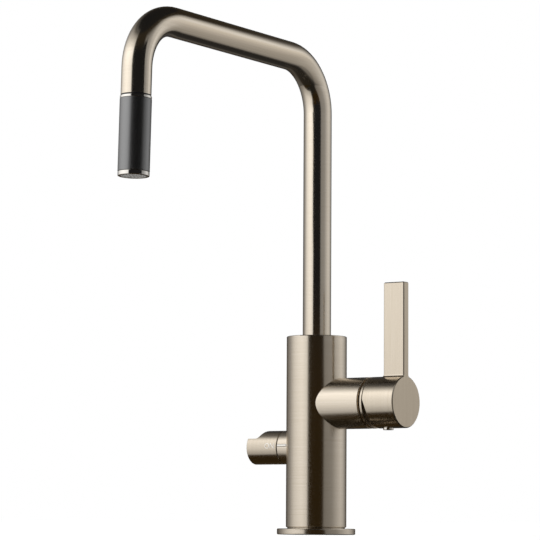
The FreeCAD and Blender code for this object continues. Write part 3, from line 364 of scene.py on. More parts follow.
dark = add_node(screen_tree, "ShaderNodeValToRGB", links={"Fac": up_screen.outputs["Result"]})
set_stops(dark, [(height_share(up), linear(colour)) for up, colour in DARK_BY_HEIGHT])
room = add_node(
    screen_tree,
    "ShaderNodeMix",
    {"data_type": "RGBA", MIX_COLOUR_B: linear(DARK_FAR_DOWN)},
    {MIX_FACTOR: screen_area(FAR_DOWN_AROUND, FAR_DOWN_HEIGHT), MIX_COLOUR_A: dark.outputs["Color"]},
)
cloth = add_node(
    screen_tree,
    "ShaderNodeMix",
    {"data_type": "RGBA", MIX_COLOUR_B: linear(WHITE)},
    {MIX_FACTOR: both.outputs["Value"], MIX_COLOUR_A: room.outputs[MIXED_COLOUR]},
)
glow = add_node(
    screen_tree,
    "ShaderNodeEmission",
    {"Strength": SOFTBOX_STRENGTH},
    {"Color": cloth.outputs[MIXED_COLOUR]},
)
add_node(screen_tree, "ShaderNodeOutputMaterial", links={"Surface": glow.outputs[0]})
screen_mesh.materials.append(screen_finish)
print("the darkness changes its tint at", len(DARK_BY_HEIGHT), "heights")


# %% [markdown]
# The spout's end has a wider dark stripe than the body. A photographer gets that with a dark card, held close
# to the tube and out of the picture, that hides a part of the right softbox from the spout's end alone. The
# card here is a plain upright strip, placed by its two edges: how many millimetres each is to the camera's
# right, and how many nearer to the camera.

# %% Hold a dark card beside the spout's end
CARD_EDGES = ((-22, 366), (39, 295))
CARD_FOOT = 250 * MM
CARD_TOP = 500 * MM

to_right = Vector((math.cos(CAMERA_AROUND), math.sin(CAMERA_AROUND), 0.0))
card_corners = []
for rightward, nearer in CARD_EDGES:
    edge = (to_right * rightward + to_camera * nearer) * MM
    card_corners.append((edge.x, edge.y, CARD_FOOT))
    card_corners.append((edge.x, edge.y, CARD_TOP))
card_mesh = bpy.data.meshes.new("dark_card")
card_mesh.from_pydata(card_corners, [], [(0, 1, 3, 2)])
card = put_in_scene("dark_card", card_mesh)
light_only(card)
card_finish = blank_finish("black_card")
tree = card_finish.node_tree
shade = add_node(tree, "ShaderNodeEmission", {"Color": linear(DARK_NEUTRAL), "Strength": SOFTBOX_STRENGTH})
add_node(tree, "ShaderNodeOutputMaterial", links={"Surface": shade.outputs[0]})
card_mesh.materials.append(card_finish)
print("card is", round((Vector(card_corners[2]) - Vector(card_corners[0])).length / MM), "mm wide")


# %% [markdown]
# The spout's arm is light along its upper half, duller below that and dark underneath, with nothing of the
# riser mirrored in it. A bent strip of card held close along the arm gives that: it stands beside the arm and
# runs on under it, and only the arm sees it.

# %% Bend a card along the arm
STRIP_FRONT = -235 * MM
STRIP_BACK = 5 * MM
STRIP_ASIDE = 16 * MM
STRIP_INNER = -14 * MM
STRIP_BELOW = 380 * MM
STRIP_TOP = 406 * MM

strip_corners = []
for across, up in ((STRIP_INNER, STRIP_BELOW), (STRIP_ASIDE, STRIP_BELOW), (STRIP_ASIDE, STRIP_TOP)):
    strip_corners.append((across, STRIP_FRONT, up))
    strip_corners.append((across, STRIP_BACK, up))
strip_mesh = bpy.data.meshes.new("bent_card")
strip_mesh.from_pydata(strip_corners, [], [(0, 1, 3, 2), (2, 3, 5, 4)])
strip = put_in_scene("bent_card", strip_mesh)
light_only(strip)
print("bent card is", round((STRIP_BACK - STRIP_FRONT) / MM), "mm long")


# %% [markdown]
# How far a place is along the bend, from under the arm to beside it, gives how light the strip is there.
# Along the bend only x or z changes, so their sum measures it. The two ends are thin gauze that fades away,
# so they leave no edge in the spout's bends.

# %% Shade the bent card
STRIP_FADE = 50 * MM
STRIP_TINT = "#FFFBF5"
STRIP_LIGHT = (
    (-11, 0.07),
    (-4, 0.02),
    (8, 0.014),
    (10.5, 0.05),
    (13, 0.18),
    (19, 0.235),
    (26, 0.25),
    (32, 0.29),
    (36, 0.37),
    (39, 0.48),
    (42, 0.55),
)

strip_finish = blank_finish("bent_card")
tree = strip_finish.node_tree
place = add_node(tree, "ShaderNodeTexCoord")
sides = add_node(tree, "ShaderNodeSeparateXYZ", links={"Vector": place.outputs["Object"]})
along_bend = add_node(
    tree,
    "ShaderNodeMath",
    {"operation": "ADD"},
    {0: sides.outputs["X"], 1: sides.outputs["Z"]},
)
strip_start = STRIP_INNER + STRIP_BELOW
strip_span = STRIP_ASIDE + STRIP_TOP - strip_start
share = add_node(
    tree,
    "ShaderNodeMapRange",
    {"From Min": strip_start, "From Max": strip_start + strip_span},
    {"Value": along_bend.outputs["Value"]},
)
greys = add_node(tree, "ShaderNodeValToRGB", links={"Fac": share.outputs["Result"]})
warmth = linear(STRIP_TINT)
strip_stops = []
for bend_place, level in STRIP_LIGHT:
    position = (bend_place * MM - STRIP_INNER) / strip_span
    strip_stops.append((position, (level * warmth[0], level * warmth[1], level * warmth[2], 1.0)))
set_stops(greys, strip_stops)
shade = add_node(
    tree,
    "ShaderNodeEmission",
    {"Strength": SOFTBOX_STRENGTH},
    {"Color": greys.outputs["Color"]},
)
fades = []
for end, inward in ((STRIP_FRONT, 1.0), (STRIP_BACK, -1.0)):
    fade = add_node(
        tree,
        "ShaderNodeMapRange",
        {"interpolation_type": "SMOOTHSTEP", "From Min": end, "From Max": end + inward * STRIP_FADE},
        {"Value": sides.outputs["Y"]},
    )
    fades.append(fade.outputs["Result"])
solid_share = add_node(tree, "ShaderNodeMath", {"operation": "MULTIPLY"}, {0: fades[0], 1: fades[1]})
clear = add_node(tree, "ShaderNodeBsdfTransparent")
faded = add_node(
    tree,
    "ShaderNodeMixShader",
    links={0: solid_share.outputs["Value"], 1: clear.outputs[0], 2: shade.outputs[0]},
)
add_node(tree, "ShaderNodeOutputMaterial", links={"Surface": faded.outputs[0]})
strip_mesh.materials.append(strip_finish)
print("bent card fades over", round(STRIP_FADE / MM), "mm at each end")


# %% [markdown]
# Above and below the screen the studio is dark too, neutral above and warm below. That is the world's colour
# for every ray except the camera's own, which sees the white backdrop.

# %% Hang the white backdrop
DARK_BELOW = "#221C11"

world = bpy.data.worlds.new("studio")
world.use_nodes = True
bpy.context.scene.world = world
tree = world.node_tree
tree.nodes.clear()
way = add_node(tree, "ShaderNodeTexCoord")
way_up = add_node(tree, "ShaderNodeSeparateXYZ", links={"Vector": way.outputs["Generated"]})
room_colour = add_node(
    tree,
    "ShaderNodeMix",
    {"data_type": "RGBA", MIX_COLOUR_A: linear(DARK_BELOW), MIX_COLOUR_B: linear(DARK_NEUTRAL)},
    {MIX_FACTOR: way_up.outputs["Z"]},
)
dark_room = add_node(
    tree,
    "ShaderNodeBackground",
    {"Strength": SOFTBOX_STRENGTH},
    {"Color": room_colour.outputs[MIXED_COLOUR]},
)
backdrop = add_node(tree, "ShaderNodeBackground", {"Color": linear(WHITE), "Strength": 1.0})
ray = add_node(tree, "ShaderNodeLightPath")
seen = add_node(
    tree,
    "ShaderNodeMixShader",
    links={0: ray.outputs["Is Camera Ray"], 1: dark_room.outputs[0], 2: backdrop.outputs[0]},
)
add_node(tree, "ShaderNodeOutputWorld", links={"Surface": seen.outputs[0]})
bpy.context.scene.view_settings.view_transform = "Standard"
print("backdrop is white, and the colours go to the picture unchanged")


# %% [markdown]
# ## The floor
#
# The faucet stands on a white table that glows a little from below, as a photographer's light table does.
# That keeps it as white as the backdrop and leaves only a soft shadow at the foot. Further out it glows more,
# so that no horizon shows. Metal would mirror a glowing table, and the picture shows a dark lower edge on
# every lying tube, so mirrored rays pass the table by.

# %% Lay the floor
FLOOR_HALF_WIDTH = 4.0
FLOOR_SQUARES = 8
FLOOR_GAP = 0.2 * MM
TABLE_WHITE = "#F4F4F2"
TABLE_ROUGHNESS = 0.9
TABLE_GLOW_NEAR = 300 * MM
TABLE_GLOW_FAR = 1000 * MM
TABLE_GLOW_LEAST = 0.78
TABLE_GLOW_MOST = 1.0

floor_shape = bmesh.new()
bmesh.ops.create_grid(
    floor_shape,
    x_segments=FLOOR_SQUARES,
    y_segments=FLOOR_SQUARES,
    size=FLOOR_HALF_WIDTH,
)
floor_mesh = mesh_from("floor", floor_shape)
floor = put_in_scene("floor", floor_mesh)
floor.location.z = -FLOOR_GAP
floor.visible_glossy = False

floor_finish = blank_finish("white_light_table")
tree = floor_finish.node_tree
place = add_node(tree, "ShaderNodeTexCoord")
from_foot = add_node(tree, "ShaderNodeVectorMath", {"operation": "LENGTH"}, {0: place.outputs["Object"]})
table_glow = add_node(
    tree,
    "ShaderNodeMapRange",
    {
        "From Min": TABLE_GLOW_NEAR,
        "From Max": TABLE_GLOW_FAR,
        "To Min": TABLE_GLOW_LEAST,
        "To Max": TABLE_GLOW_MOST,
    },
    {"Value": from_foot.outputs["Value"]},
)
shader = add_node(
    tree,
    "ShaderNodeBsdfPrincipled",
    {
        "Base Color": linear(TABLE_WHITE),
        "Roughness": TABLE_ROUGHNESS,
        "Specular IOR Level": 0.0,
        "Emission Color": linear(WHITE),
    },
    {"Emission Strength": table_glow.outputs["Result"]},
)
add_node(tree, "ShaderNodeOutputMaterial", links={"Surface": shader.outputs[0]})
floor_mesh.materials.append(floor_finish)
print("floor is", 2 * FLOOR_HALF_WIDTH, "m wide")


# %% [markdown]
# ## Brushed nickel
#
# The body, spout, lever and knob are brass with a brushed nickel plating. Nickel is a slightly warm white
# metal, and the brush leaves fine parallel scratches that run round a turned piece. They spread a reflection
# across the scratches and keep it crisp along them, which Blender calls anisotropy. Real scratches are a few
# hundredths of a millimetre apart. They are drawn about half a millimetre apart here, because finer ones
# would not show. A noise that is fine along one axis and long along the others gives them.

# %% Draw the scratches
SCRATCH = 0.5 * MM
SCRATCH_LENGTH = 60 * MM
SCRATCH_DETAIL = 3.0
SCRATCH_HARSHNESS = 0.65


def scratch_noise(tree, place, fine_axis):
    """Noise that is fine along one axis and long along the other two."""
    scale = tuple(1.0 / SCRATCH if axis == fine_axis else 1.0 / SCRATCH_LENGTH for axis in "XYZ")
    stretched = add_node(tree, "ShaderNodeMapping", {"Scale": scale}, {"Vector": place.outputs["Object"]})
    noise = add_node(
        tree,
        "ShaderNodeTexNoise",
        {"Scale": 1.0, "Detail": SCRATCH_DETAIL, "Roughness": SCRATCH_HARSHNESS},
        {"Vector": stretched.outputs["Vector"]},
    )
    return noise.outputs["Fac"]


print("scratches are drawn", SCRATCH / MM, "mm apart")


# %% [markdown]
# One recipe serves every piece, and the axis across the scratches says which way the brush ran. A piece
# that lies along that axis may have flat ends, which are brushed by themselves, duller, and painted a little
# darker as painted shade. The narrow gaps between pieces are painted dark as well, as painted shade where
# shade falls. A node that measures how open a place is finds these gaps, which saves painting them by hand.

# %% Mix brushed nickel
NICKEL = "#E3D8C8"
NICKEL_SHADE = "#DBCFBD"
NOISE_LOW = 0.30
NOISE_HIGH = 0.70
NICKEL_GLOSS_SPREAD = 0.03
GROOVE_STRENGTH = 0.06
GROOVE_DEPTH = 0.05 * MM
END_BEGINS = 0.80
END_IS_FULL = 0.95
END_PAINTED_SHADE = "#F6F4F0"
END_DULLNESS = 0.18
GAP_REACH = 2.5 * MM
GAP_SAMPLES = 8
GAP_SHUT = 0.15
GAP_OPEN = 0.45
GAP_LIGHT = 0.08
BRUSH_SPREAD = 0.6
QUARTER_TURN = 0.25


def brushed_nickel(name, across, roughness, tone=WHITE, tangent_axis=None, ends_across=None):
    """Nickel with scratches that are fine along the axis across, and along ends_across on its ends."""
    finish = blank_finish(name)
    tree = finish.node_tree
    place = add_node(tree, "ShaderNodeTexCoord")
    side_scratches = scratch_noise(tree, place, across)
    end_scratches = scratch_noise(tree, place, ends_across or across)
    facing = add_node(tree, "ShaderNodeSeparateXYZ", links={"Vector": place.outputs["Normal"]})
    outward = add_node(tree, "ShaderNodeMath", {"operation": "ABSOLUTE"}, {0: facing.outputs[across]})
    is_end = add_node(
        tree,
        "ShaderNodeMapRange",
        {"From Min": END_BEGINS, "From Max": END_IS_FULL},
        {"Value": outward.outputs["Value"]},
    )
    scratches = add_node(
        tree,
        "ShaderNodeMix",
        {"data_type": "FLOAT"},
        {MIX_FACTOR: is_end.outputs["Result"], MIX_NUMBER_A: side_scratches, MIX_NUMBER_B: end_scratches},
    )
    scratch_height = scratches.outputs[MIXED_NUMBER]
    tint = add_node(tree, "ShaderNodeValToRGB", links={"Fac": scratch_height})
    set_stops(tint, ((NOISE_LOW, linear(NICKEL_SHADE)), (NOISE_HIGH, linear(NICKEL))))
    gloss = add_node(
        tree,
        "ShaderNodeMapRange",
        {
            "From Min": NOISE_LOW,
            "From Max": NOISE_HIGH,
            "To Min": roughness + NICKEL_GLOSS_SPREAD,
            "To Max": roughness - NICKEL_GLOSS_SPREAD,
        },
        {"Value": scratch_height},
    )
    duller_ends = add_node(
        tree,
        "ShaderNodeMath",
        {"operation": "MULTIPLY_ADD", 1: END_DULLNESS if ends_across else 0.0},
        {0: is_end.outputs["Result"], 2: gloss.outputs["Result"]},
    )
    grooves = add_node(
        tree,
        "ShaderNodeBump",
        {"Strength": GROOVE_STRENGTH, "Distance": GROOVE_DEPTH},
        {"Height": scratch_height},
    )
    # Flat ends of the handle's pieces are painted a little darker: painted shade.
    end_tone = linear(END_PAINTED_SHADE if ends_across else WHITE)
    shaded_ends = add_node(
        tree,
        "ShaderNodeMix",
        {"data_type": "RGBA", "blend_type": "MULTIPLY", MIX_COLOUR_B: end_tone},
        {MIX_FACTOR: is_end.outputs["Result"], MIX_COLOUR_A: tint.outputs["Color"]},
    )
    toned = add_node(
        tree,
        "ShaderNodeMix",
        {"data_type": "RGBA", "blend_type": "MULTIPLY", MIX_FACTOR: 1.0, MIX_COLOUR_B: linear(tone)},
        {MIX_COLOUR_A: shaded_ends.outputs[MIXED_COLOUR]},
    )
    # Painted shade: the colour is darkened in the narrow gaps between pieces, where shade falls.
    open_share = add_node(
        tree,
        "ShaderNodeAmbientOcclusion",
        {"samples": GAP_SAMPLES, "Distance": GAP_REACH},
    )
    painted_gap_shade = add_node(
        tree,
        "ShaderNodeMapRange",
        {"From Min": GAP_SHUT, "From Max": GAP_OPEN, "To Min": GAP_LIGHT, "To Max": 1.0},
        {"Value": open_share.outputs["AO"]},
    )
    colour_with_painted_shade = add_node(
        tree,
        "ShaderNodeVectorMath",
        {"operation": "SCALE"},
        {0: toned.outputs[MIXED_COLOUR], "Scale": painted_gap_shade.outputs["Result"]},
    )
    links = {
        "Base Color": colour_with_painted_shade.outputs["Vector"],
        "Roughness": duller_ends.outputs["Value"],
        "Normal": grooves.outputs["Normal"],
    }
    settings = {"Metallic": 1.0}
    if tangent_axis:
        brush_way = add_node(tree, "ShaderNodeTangent", {"direction_type": "RADIAL", "axis": tangent_axis})
        links["Tangent"] = brush_way.outputs["Tangent"]
        settings["Anisotropic"] = BRUSH_SPREAD
        settings["Anisotropic Rotation"] = QUARTER_TURN
    shader = add_node(tree, "ShaderNodeBsdfPrincipled", settings, links)
    add_node(tree, "ShaderNodeOutputMaterial", links={"Surface": shader.outputs[0]})
    return finish


nickel_round_body = brushed_nickel(
    "nickel_brushed_round_body",
    across="Z",
    roughness=0.22,
    tangent_axis="Z",
)
# The handle's pieces are the body's nickel painted a little darker, as painted shade.
nickel_round_handle = brushed_nickel(
    "nickel_brushed_round_handle",
    across="X",
    roughness=0.20,
    tone="#F3F2F0",
    ends_across="Y",
)
nickel_tube = brushed_nickel("nickel_brushed_tube", across="Z", roughness=0.15)
print("brushed nickel for the body, for the handle and for the spout")


# %% [markdown]
# ## Polished nickel
#
# The two rings of the spray head and the cap of the lever's screw are polished instead of brushed, so they
# mirror the studio sharply. So are the letters and the mark on the side valve, which makes them easy to read
# on brushed metal. A trace of unevenness, a few millimetres wide as a wiping cloth leaves it, keeps the
# polish from looking computed.

# %% Mix polished nickel
POLISHED_NICKEL = "#E9E5DE"
WIPE_MARK = 4 * MM
WIPE_DETAIL = 2.0
POLISH_BEST = 0.05
POLISH_WORST = 0.12

polished_nickel = blank_finish("nickel_polished")
tree = polished_nickel.node_tree
place = add_node(tree, "ShaderNodeTexCoord")
wiped = add_node(
    tree,
    "ShaderNodeTexNoise",
    {"Scale": 1.0 / WIPE_MARK, "Detail": WIPE_DETAIL},
    {"Vector": place.outputs["Object"]},
)
gloss = add_node(
    tree,
    "ShaderNodeMapRange",
    {"To Min": POLISH_BEST, "To Max": POLISH_WORST},
    {"Value": wiped.outputs["Fac"]},
)
shader = add_node(
    tree,
    "ShaderNodeBsdfPrincipled",
    {"Base Color": linear(POLISHED_NICKEL), "Metallic": 1.0},
    {"Roughness": gloss.outputs["Result"]},
)
add_node(tree, "ShaderNodeOutputMaterial", links={"Surface": shader.outputs[0]})
print("polished nickel for the rings, the cap, the letters and the mark")


# %% [markdown]
# ## Rubber, plastic and ceramic
#
# The grip is a moulded soft-touch rubber: nearly black, with a fine matt grain that turns a softbox into a
# broad grey glow. Its reflection is drawn stronger than bare rubber's, to match the picture. The seals are
# plain moulded nitrile rubber, which is smoother and a little paler. Moulded acetal has a soft waxy shine,
# silicone is duller, and the alumina discs are ground so flat that they shine most. One recipe serves all of
# them, with their own colours, grain and gloss. Their real grain is too fine to show, so it is drawn a few
# tenths of a millimetre wide.

# %% Mix the moulded materials
MOTTLE_LOW = 0.35
MOTTLE_HIGH = 0.65
GRAIN_DETAIL = 2.0
MOULDED_HARSHNESS = 0.6
MOULDED_GLOSS_SPREAD = 0.05
GRAIN_DEPTH_SHARE = 0.1


def moulded(name, colour, shade, grain, roughness, bump, settings):
    """A moulded or ground piece: two close colours, the width of its fine grain, and its gloss."""
    finish = blank_finish(name)
    tree = finish.node_tree
    place = add_node(tree, "ShaderNodeTexCoord")
    cells = add_node(
        tree,
        "ShaderNodeTexNoise",
        {"Scale": 1.0 / grain, "Detail": GRAIN_DETAIL, "Roughness": MOULDED_HARSHNESS},
        {"Vector": place.outputs["Object"]},
    )
    tint = add_node(tree, "ShaderNodeValToRGB", links={"Fac": cells.outputs["Fac"]})
    set_stops(tint, ((MOTTLE_LOW, linear(shade)), (MOTTLE_HIGH, linear(colour))))
    gloss = add_node(
        tree,
        "ShaderNodeMapRange",
        {"To Min": roughness - MOULDED_GLOSS_SPREAD, "To Max": roughness + MOULDED_GLOSS_SPREAD},
        {"Value": cells.outputs["Fac"]},
    )
    relief = add_node(
        tree,
        "ShaderNodeBump",
        {"Strength": bump, "Distance": GRAIN_DEPTH_SHARE * grain},
        {"Height": cells.outputs["Fac"]},
    )
    shader = add_node(
        tree,
        "ShaderNodeBsdfPrincipled",
        settings,
        {
            "Base Color": tint.outputs["Color"],
            "Roughness": gloss.outputs["Result"],
            "Normal": relief.outputs["Normal"],
        },
    )
    add_node(tree, "ShaderNodeOutputMaterial", links={"Surface": shader.outputs[0]})
    return finish


grip_rubber = moulded(
    "soft_touch_rubber_grip",
    colour="#0E0E0E",
    shade="#090909",
    grain=0.6 * MM,
    roughness=0.34,
    bump=0.25,
    settings={"IOR": 2.1, "Specular IOR Level": 1.0},
)
seal_rubber = moulded(
    "nitrile_rubber_seal",
    colour="#1E1E1E",
    shade="#151515",
    grain=0.8 * MM,
    roughness=0.5,
    bump=0.15,
    settings={"IOR": 1.52},
)
black_plastic = moulded(
    "acetal_moulded_black",
    colour="#242426",
    shade="#1C1C1E",
    grain=0.7 * MM,
    roughness=0.38,
    bump=0.15,
    settings={"IOR": 1.48},
)
white_plastic = moulded(
    "acetal_moulded_white",
    colour="#ECE9E2",
    shade="#E2DED5",
    grain=0.9 * MM,
    roughness=0.35,
    bump=0.10,
    settings={"IOR": 1.48},
)
grey_plastic = moulded(
    "silicone_moulded_grey",
    colour="#A3A29F",
    shade="#92918E",
    grain=0.7 * MM,
    roughness=0.45,
    bump=0.15,
    settings={"IOR": 1.43},
)
ceramic = moulded(
    "alumina_ground",
    colour="#F0ECE2",
    shade="#E7E2D6",
    grain=0.3 * MM,
    roughness=0.18,
    bump=0.05,
    settings={"IOR": 1.77},
)
print("rubber, acetal, silicone and alumina")


# %% [markdown]
# ## Turned brass and steel
#
# Inside, the waterway, the nuts and the spindle are turned brass, and the screws, pins and crimped collars
# are stainless steel. The cutting tool leaves the metal a little uneven, so it shines in fine flecks. The
# flecks are drawn with a noise in two close colours, coarser than the tool's real marks so that they show.

# %% Mix the turned metals
TURNING_FLECK = 0.4 * MM
TURNED_HARSHNESS = 0.5
TURNED_GLOSS_SPREAD = 0.06


def turned_metal(name, colour, shade, roughness):
    """Bare metal from the lathe: two close colours in fine flecks."""
    finish = blank_finish(name)
    tree = finish.node_tree
    place = add_node(tree, "ShaderNodeTexCoord")
    flecks = add_node(
        tree,
        "ShaderNodeTexNoise",
        {"Scale": 1.0 / TURNING_FLECK, "Detail": GRAIN_DETAIL, "Roughness": TURNED_HARSHNESS},
        {"Vector": place.outputs["Object"]},
    )
    tint = add_node(tree, "ShaderNodeValToRGB", links={"Fac": flecks.outputs["Fac"]})
    set_stops(tint, ((MOTTLE_LOW, linear(shade)), (MOTTLE_HIGH, linear(colour))))
    gloss = add_node(
        tree,
        "ShaderNodeMapRange",
        {"To Min": roughness - TURNED_GLOSS_SPREAD, "To Max": roughness + TURNED_GLOSS_SPREAD},
        {"Value": flecks.outputs["Fac"]},
    )
    shader = add_node(
        tree,
        "ShaderNodeBsdfPrincipled",
        {"Metallic": 1.0},
        {"Base Color": tint.outputs["Color"], "Roughness": gloss.outputs["Result"]},
    )
    add_node(tree, "ShaderNodeOutputMaterial", links={"Surface": shader.outputs[0]})
    return finish


brass = turned_metal("brass_turned", colour="#D8B46A", shade="#C9A257", roughness=0.30)
steel = turned_metal("stainless_steel_turned", colour="#CFCDC9", shade="#BDBBB7", roughness=0.28)
print("brass and stainless steel")


# %% [markdown]
# ## Dress the CAD pieces
#
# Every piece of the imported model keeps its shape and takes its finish. The record names one material for each
# piece, so its list does most of the work, and only the pieces of brushed nickel choose the way of the brush.
# The hose waits for a shape of its own.

# %% Give every piece its finish
FINISH_OF_SLOT = {
    "brushed_nickel": nickel_round_body,
    "polished_nickel": polished_nickel,
    "grip_rubber": grip_rubber,
    "seal_rubber": seal_rubber,
    "black_plastic": black_plastic,
    "white_plastic": white_plastic,
    "grey_plastic": grey_plastic,
    "brass": brass,
    "steel": steel,
    "ceramic": ceramic,
}
BRUSH_OF_PIECE = {
    "spout_tube": nickel_tube,
    "cover_ring": nickel_round_handle,
    "lever_handle": nickel_round_handle,
    "valve_knob": nickel_round_handle,
}


def dress(piece, finish):
    """Put one finish on the whole of a piece."""
    piece.data.materials.clear()
    piece.data.materials.append(finish)


slot_of_piece = {part["node"]: part["material_slot"] for part in frame["record"]["subparts"]}
dressed = 0
for name, piece in frame["nodes"].items():
    finish = BRUSH_OF_PIECE.get(name, FINISH_OF_SLOT.get(slot_of_piece[name]))
    if finish:
        dress(piece, finish)
        dressed += 1
print("dressed", dressed, "of", len(slot_of_piece), "pieces")


# %% [markdown]
# ## The pull-out hose
#
# The spray head hangs on a hose with a nylon braid, which slides in the spout. At rest nearly all of it is
# out of sight. When the head is pulled out, the hose has to show between the spout and the head. So it is
# made as two pieces on one route: the inner one stays with the spout, and the outer one is the length that
# the pull would bring into sight. The route is one smooth NURBS curve through the middle of the spout. Its
# control points are pairs of y and z in millimetres, and the last few lie along the outlet.

# %% Lay out the hose's route
OUTLET_CORNER = Vector((0.0, -246.7, 404.514)) * MM
OUTLET_WAY = Vector((0.0, -0.0314108, -0.9995066))
SPOUT_POINTS = (
    (0.0, 3.0),
    (0.0, 170.0),
    (0.0, 345.0),
    (0.0, 369.5),
    (-11.7, 389.9),
    (-32.0, 401.9),
    (-56.0, 402.2),
    (-125.0, 403.0),
    (-191.1, 403.8),
    (-214.9, 404.1),
    (-235.5, 392.8),
)
OUTLET_POINTS = (31.8, 45.0, 53.0)
ROUTE_STEPS = 24
ROUTE_ORDER = 3


def evaluated_mesh(name, curve):
    """Put a curve in the scene for a moment, and give the mesh that Blender makes of it."""
    guide = put_in_scene(name, curve)
    bpy.context.view_layer.update()
    evaluated = guide.evaluated_get(bpy.context.evaluated_depsgraph_get())
    mesh = bpy.data.meshes.new_from_object(evaluated)
    bpy.data.objects.remove(guide)
    return mesh


route_points = [Vector((0.0, y, z)) * MM for y, z in SPOUT_POINTS]
for along in OUTLET_POINTS:
    route_points.append(OUTLET_CORNER + OUTLET_WAY * along * MM)
hose_curve = bpy.data.curves.new("hose_route", "CURVE")
hose_curve.dimensions = "3D"
hose_curve.resolution_u = ROUTE_STEPS
spline = hose_curve.splines.new("NURBS")
spline.points.add(len(route_points) - 1)
for control_point, spot in zip(spline.points, route_points):
    control_point.co = (*spot, 1.0)
spline.order_u = ROUTE_ORDER
spline.use_endpoint_u = True
line = evaluated_mesh("hose_route", hose_curve)
hose_line = [vertex.co.copy() for vertex in line.vertices]
bpy.data.meshes.remove(line)
hose_length = sum((b - a).length for a, b in zip(hose_line, hose_line[1:]))
print("hose route is", round(hose_length / MM), "mm long with", len(hose_line), "points")


# %% [markdown]
# The tube is swept along that line, ring by ring. The outer piece is short at rest and 200 mm longer when
# pulled, and its braid is drawn for the pulled length: it is squeezed together only while the spout hides it.
# So its rings stand close together where the pull will draw them apart.

# %% Place the hose's rings
PULL_LENGTH = 200 * MM
HOSE_END_ALONG = 53 * MM
STRETCH_FROM = 35 * MM
STRETCH_TO = 52 * MM
RING_GAP_PULLED = 0.45 * MM
RING_GAP_HIDDEN = 4 * MM
PROBE_STEP = 0.01 * MM


def pull_share(along):
    """How much of the head's travel a point takes, from 0 at the spout to 1 at the head."""
    share = min(max((along - STRETCH_FROM) / (STRETCH_TO - STRETCH_FROM), 0.0), 1.0)
    return share * share * (3.0 - 2.0 * share)


def along_outlet(point):
    """Distance from the outlet's corner down the outlet."""
    return (point - OUTLET_CORNER).dot(OUTLET_WAY)


def on_line(distance):
    """The point of the hose's route at a distance from its start, and the way it runs there."""
    left = distance
    for start, end in zip(hose_line, hose_line[1:]):
        step = (end - start).length
        if left <= step:
            return start + (end - start) * (left / step), (end - start).normalized()
        left -= step
    return hose_line[-1], (hose_line[-1] - hose_line[-2]).normalized()


outer_from = hose_length - (HOSE_END_ALONG - STRETCH_FROM)
inner_rings = []
distance = 0.0
while distance < outer_from - RING_GAP_HIDDEN / 2:
    inner_rings.append(distance)
    distance += RING_GAP_HIDDEN
inner_rings.append(outer_from)

outer_rings = []
distance = outer_from
while distance < hose_length:
    outer_rings.append(distance)
    along = along_outlet(on_line(distance)[0])
    growth = 1.0 + PULL_LENGTH * (pull_share(along + PROBE_STEP) - pull_share(along)) / PROBE_STEP
    distance += RING_GAP_PULLED / growth
outer_rings.append(hose_length)
print("inner piece has", len(inner_rings), "rings, outer piece", len(outer_rings))


# %% [markdown]
# The braid could be a bump in the material, but the outer piece is in plain sight when it is pulled, so its
# rings carry the braid as real relief: two families of strands wind opposite ways and pass over and under
# each other. Each corner of the mesh also keeps its place in the braid, for the colour.

# %% Sweep the two pieces of the hose
HOSE_RADIUS = 5.25 * MM
HOSE_BORE_RADIUS = 3.5 * MM
RING_POINTS = 48
STRANDS = 12
STRAND_PITCH = 2.0 * math.pi * HOSE_RADIUS / STRANDS
STRAND_RISE = 0.45 * MM
UNDER_DIP = 0.45


def braid_height(turns, pulled):
    """Relief of the braid from 0 to 1, at a place round the hose and along its pulled length."""
    left_hand = turns * STRANDS + pulled / STRAND_PITCH
    right_hand = turns * STRANDS - pulled / STRAND_PITCH
    round_wave = math.cos(math.pi * (left_hand + right_hand))
    long_wave = math.cos(math.pi * (left_hand - right_hand))
    over = 0.5 + 0.5 * round_wave * long_wave
    first = abs(math.sin(math.pi * left_hand)) * (1.0 - UNDER_DIP + UNDER_DIP * over)
    second = abs(math.sin(math.pi * right_hand)) * (1.0 - UNDER_DIP * over)
    return max(first, second)


def sweep_hose(name, distances, is_pulled):
    """A tube with open ends through the rings at these distances. The pulled piece has the braid's relief."""
    shape = bmesh.new()
    braid_layer = shape.loops.layers.uv.new("braid")
    braid_place = {}
    rings = []
    for distance in distances:
        point, way = on_line(distance)
        pulled = distance
        if is_pulled:
            pulled += PULL_LENGTH * pull_share(along_outlet(point))
        side = Vector((1.0, 0.0, 0.0))
        third = way.cross(side).normalized()
        ring = []
        for number in range(RING_POINTS):
            turns = number / RING_POINTS
            angle = 2.0 * math.pi * turns
            radius = HOSE_RADIUS
            if is_pulled:
                radius += STRAND_RISE * (braid_height(turns, pulled) - 1.0)
            vertex = shape.verts.new(point + (side * math.cos(angle) + third * math.sin(angle)) * radius)
            braid_place[vertex] = (turns, pulled)
            ring.append(vertex)
        rings.append(ring)
    for here, ahead in zip(rings, rings[1:]):
        for number in range(RING_POINTS):
            following = (number + 1) % RING_POINTS
            face = shape.faces.new((here[number], here[following], ahead[following], ahead[number]))
            face.smooth = True
            for loop in face.loops:
                turns, pulled = braid_place[loop.vert]
                if number == RING_POINTS - 1 and turns == 0.0:
                    turns = 1.0
                loop[braid_layer].uv = (turns, pulled)
    for ring in (rings[0], rings[-1]):
        outer = [vertex.co.copy() for vertex in ring]
        centre = sum(outer, Vector()) / len(outer)
        inner = []
        for spot in outer:
            inner.append(shape.verts.new(centre + (spot - centre).normalized() * HOSE_BORE_RADIUS))
        for number in range(RING_POINTS):
            following = (number + 1) % RING_POINTS
            shape.faces.new((ring[number], ring[following], inner[following], inner[number]))
    bmesh.ops.recalc_face_normals(shape, faces=shape.faces)
    return put_in_scene(name, mesh_from(name, shape))


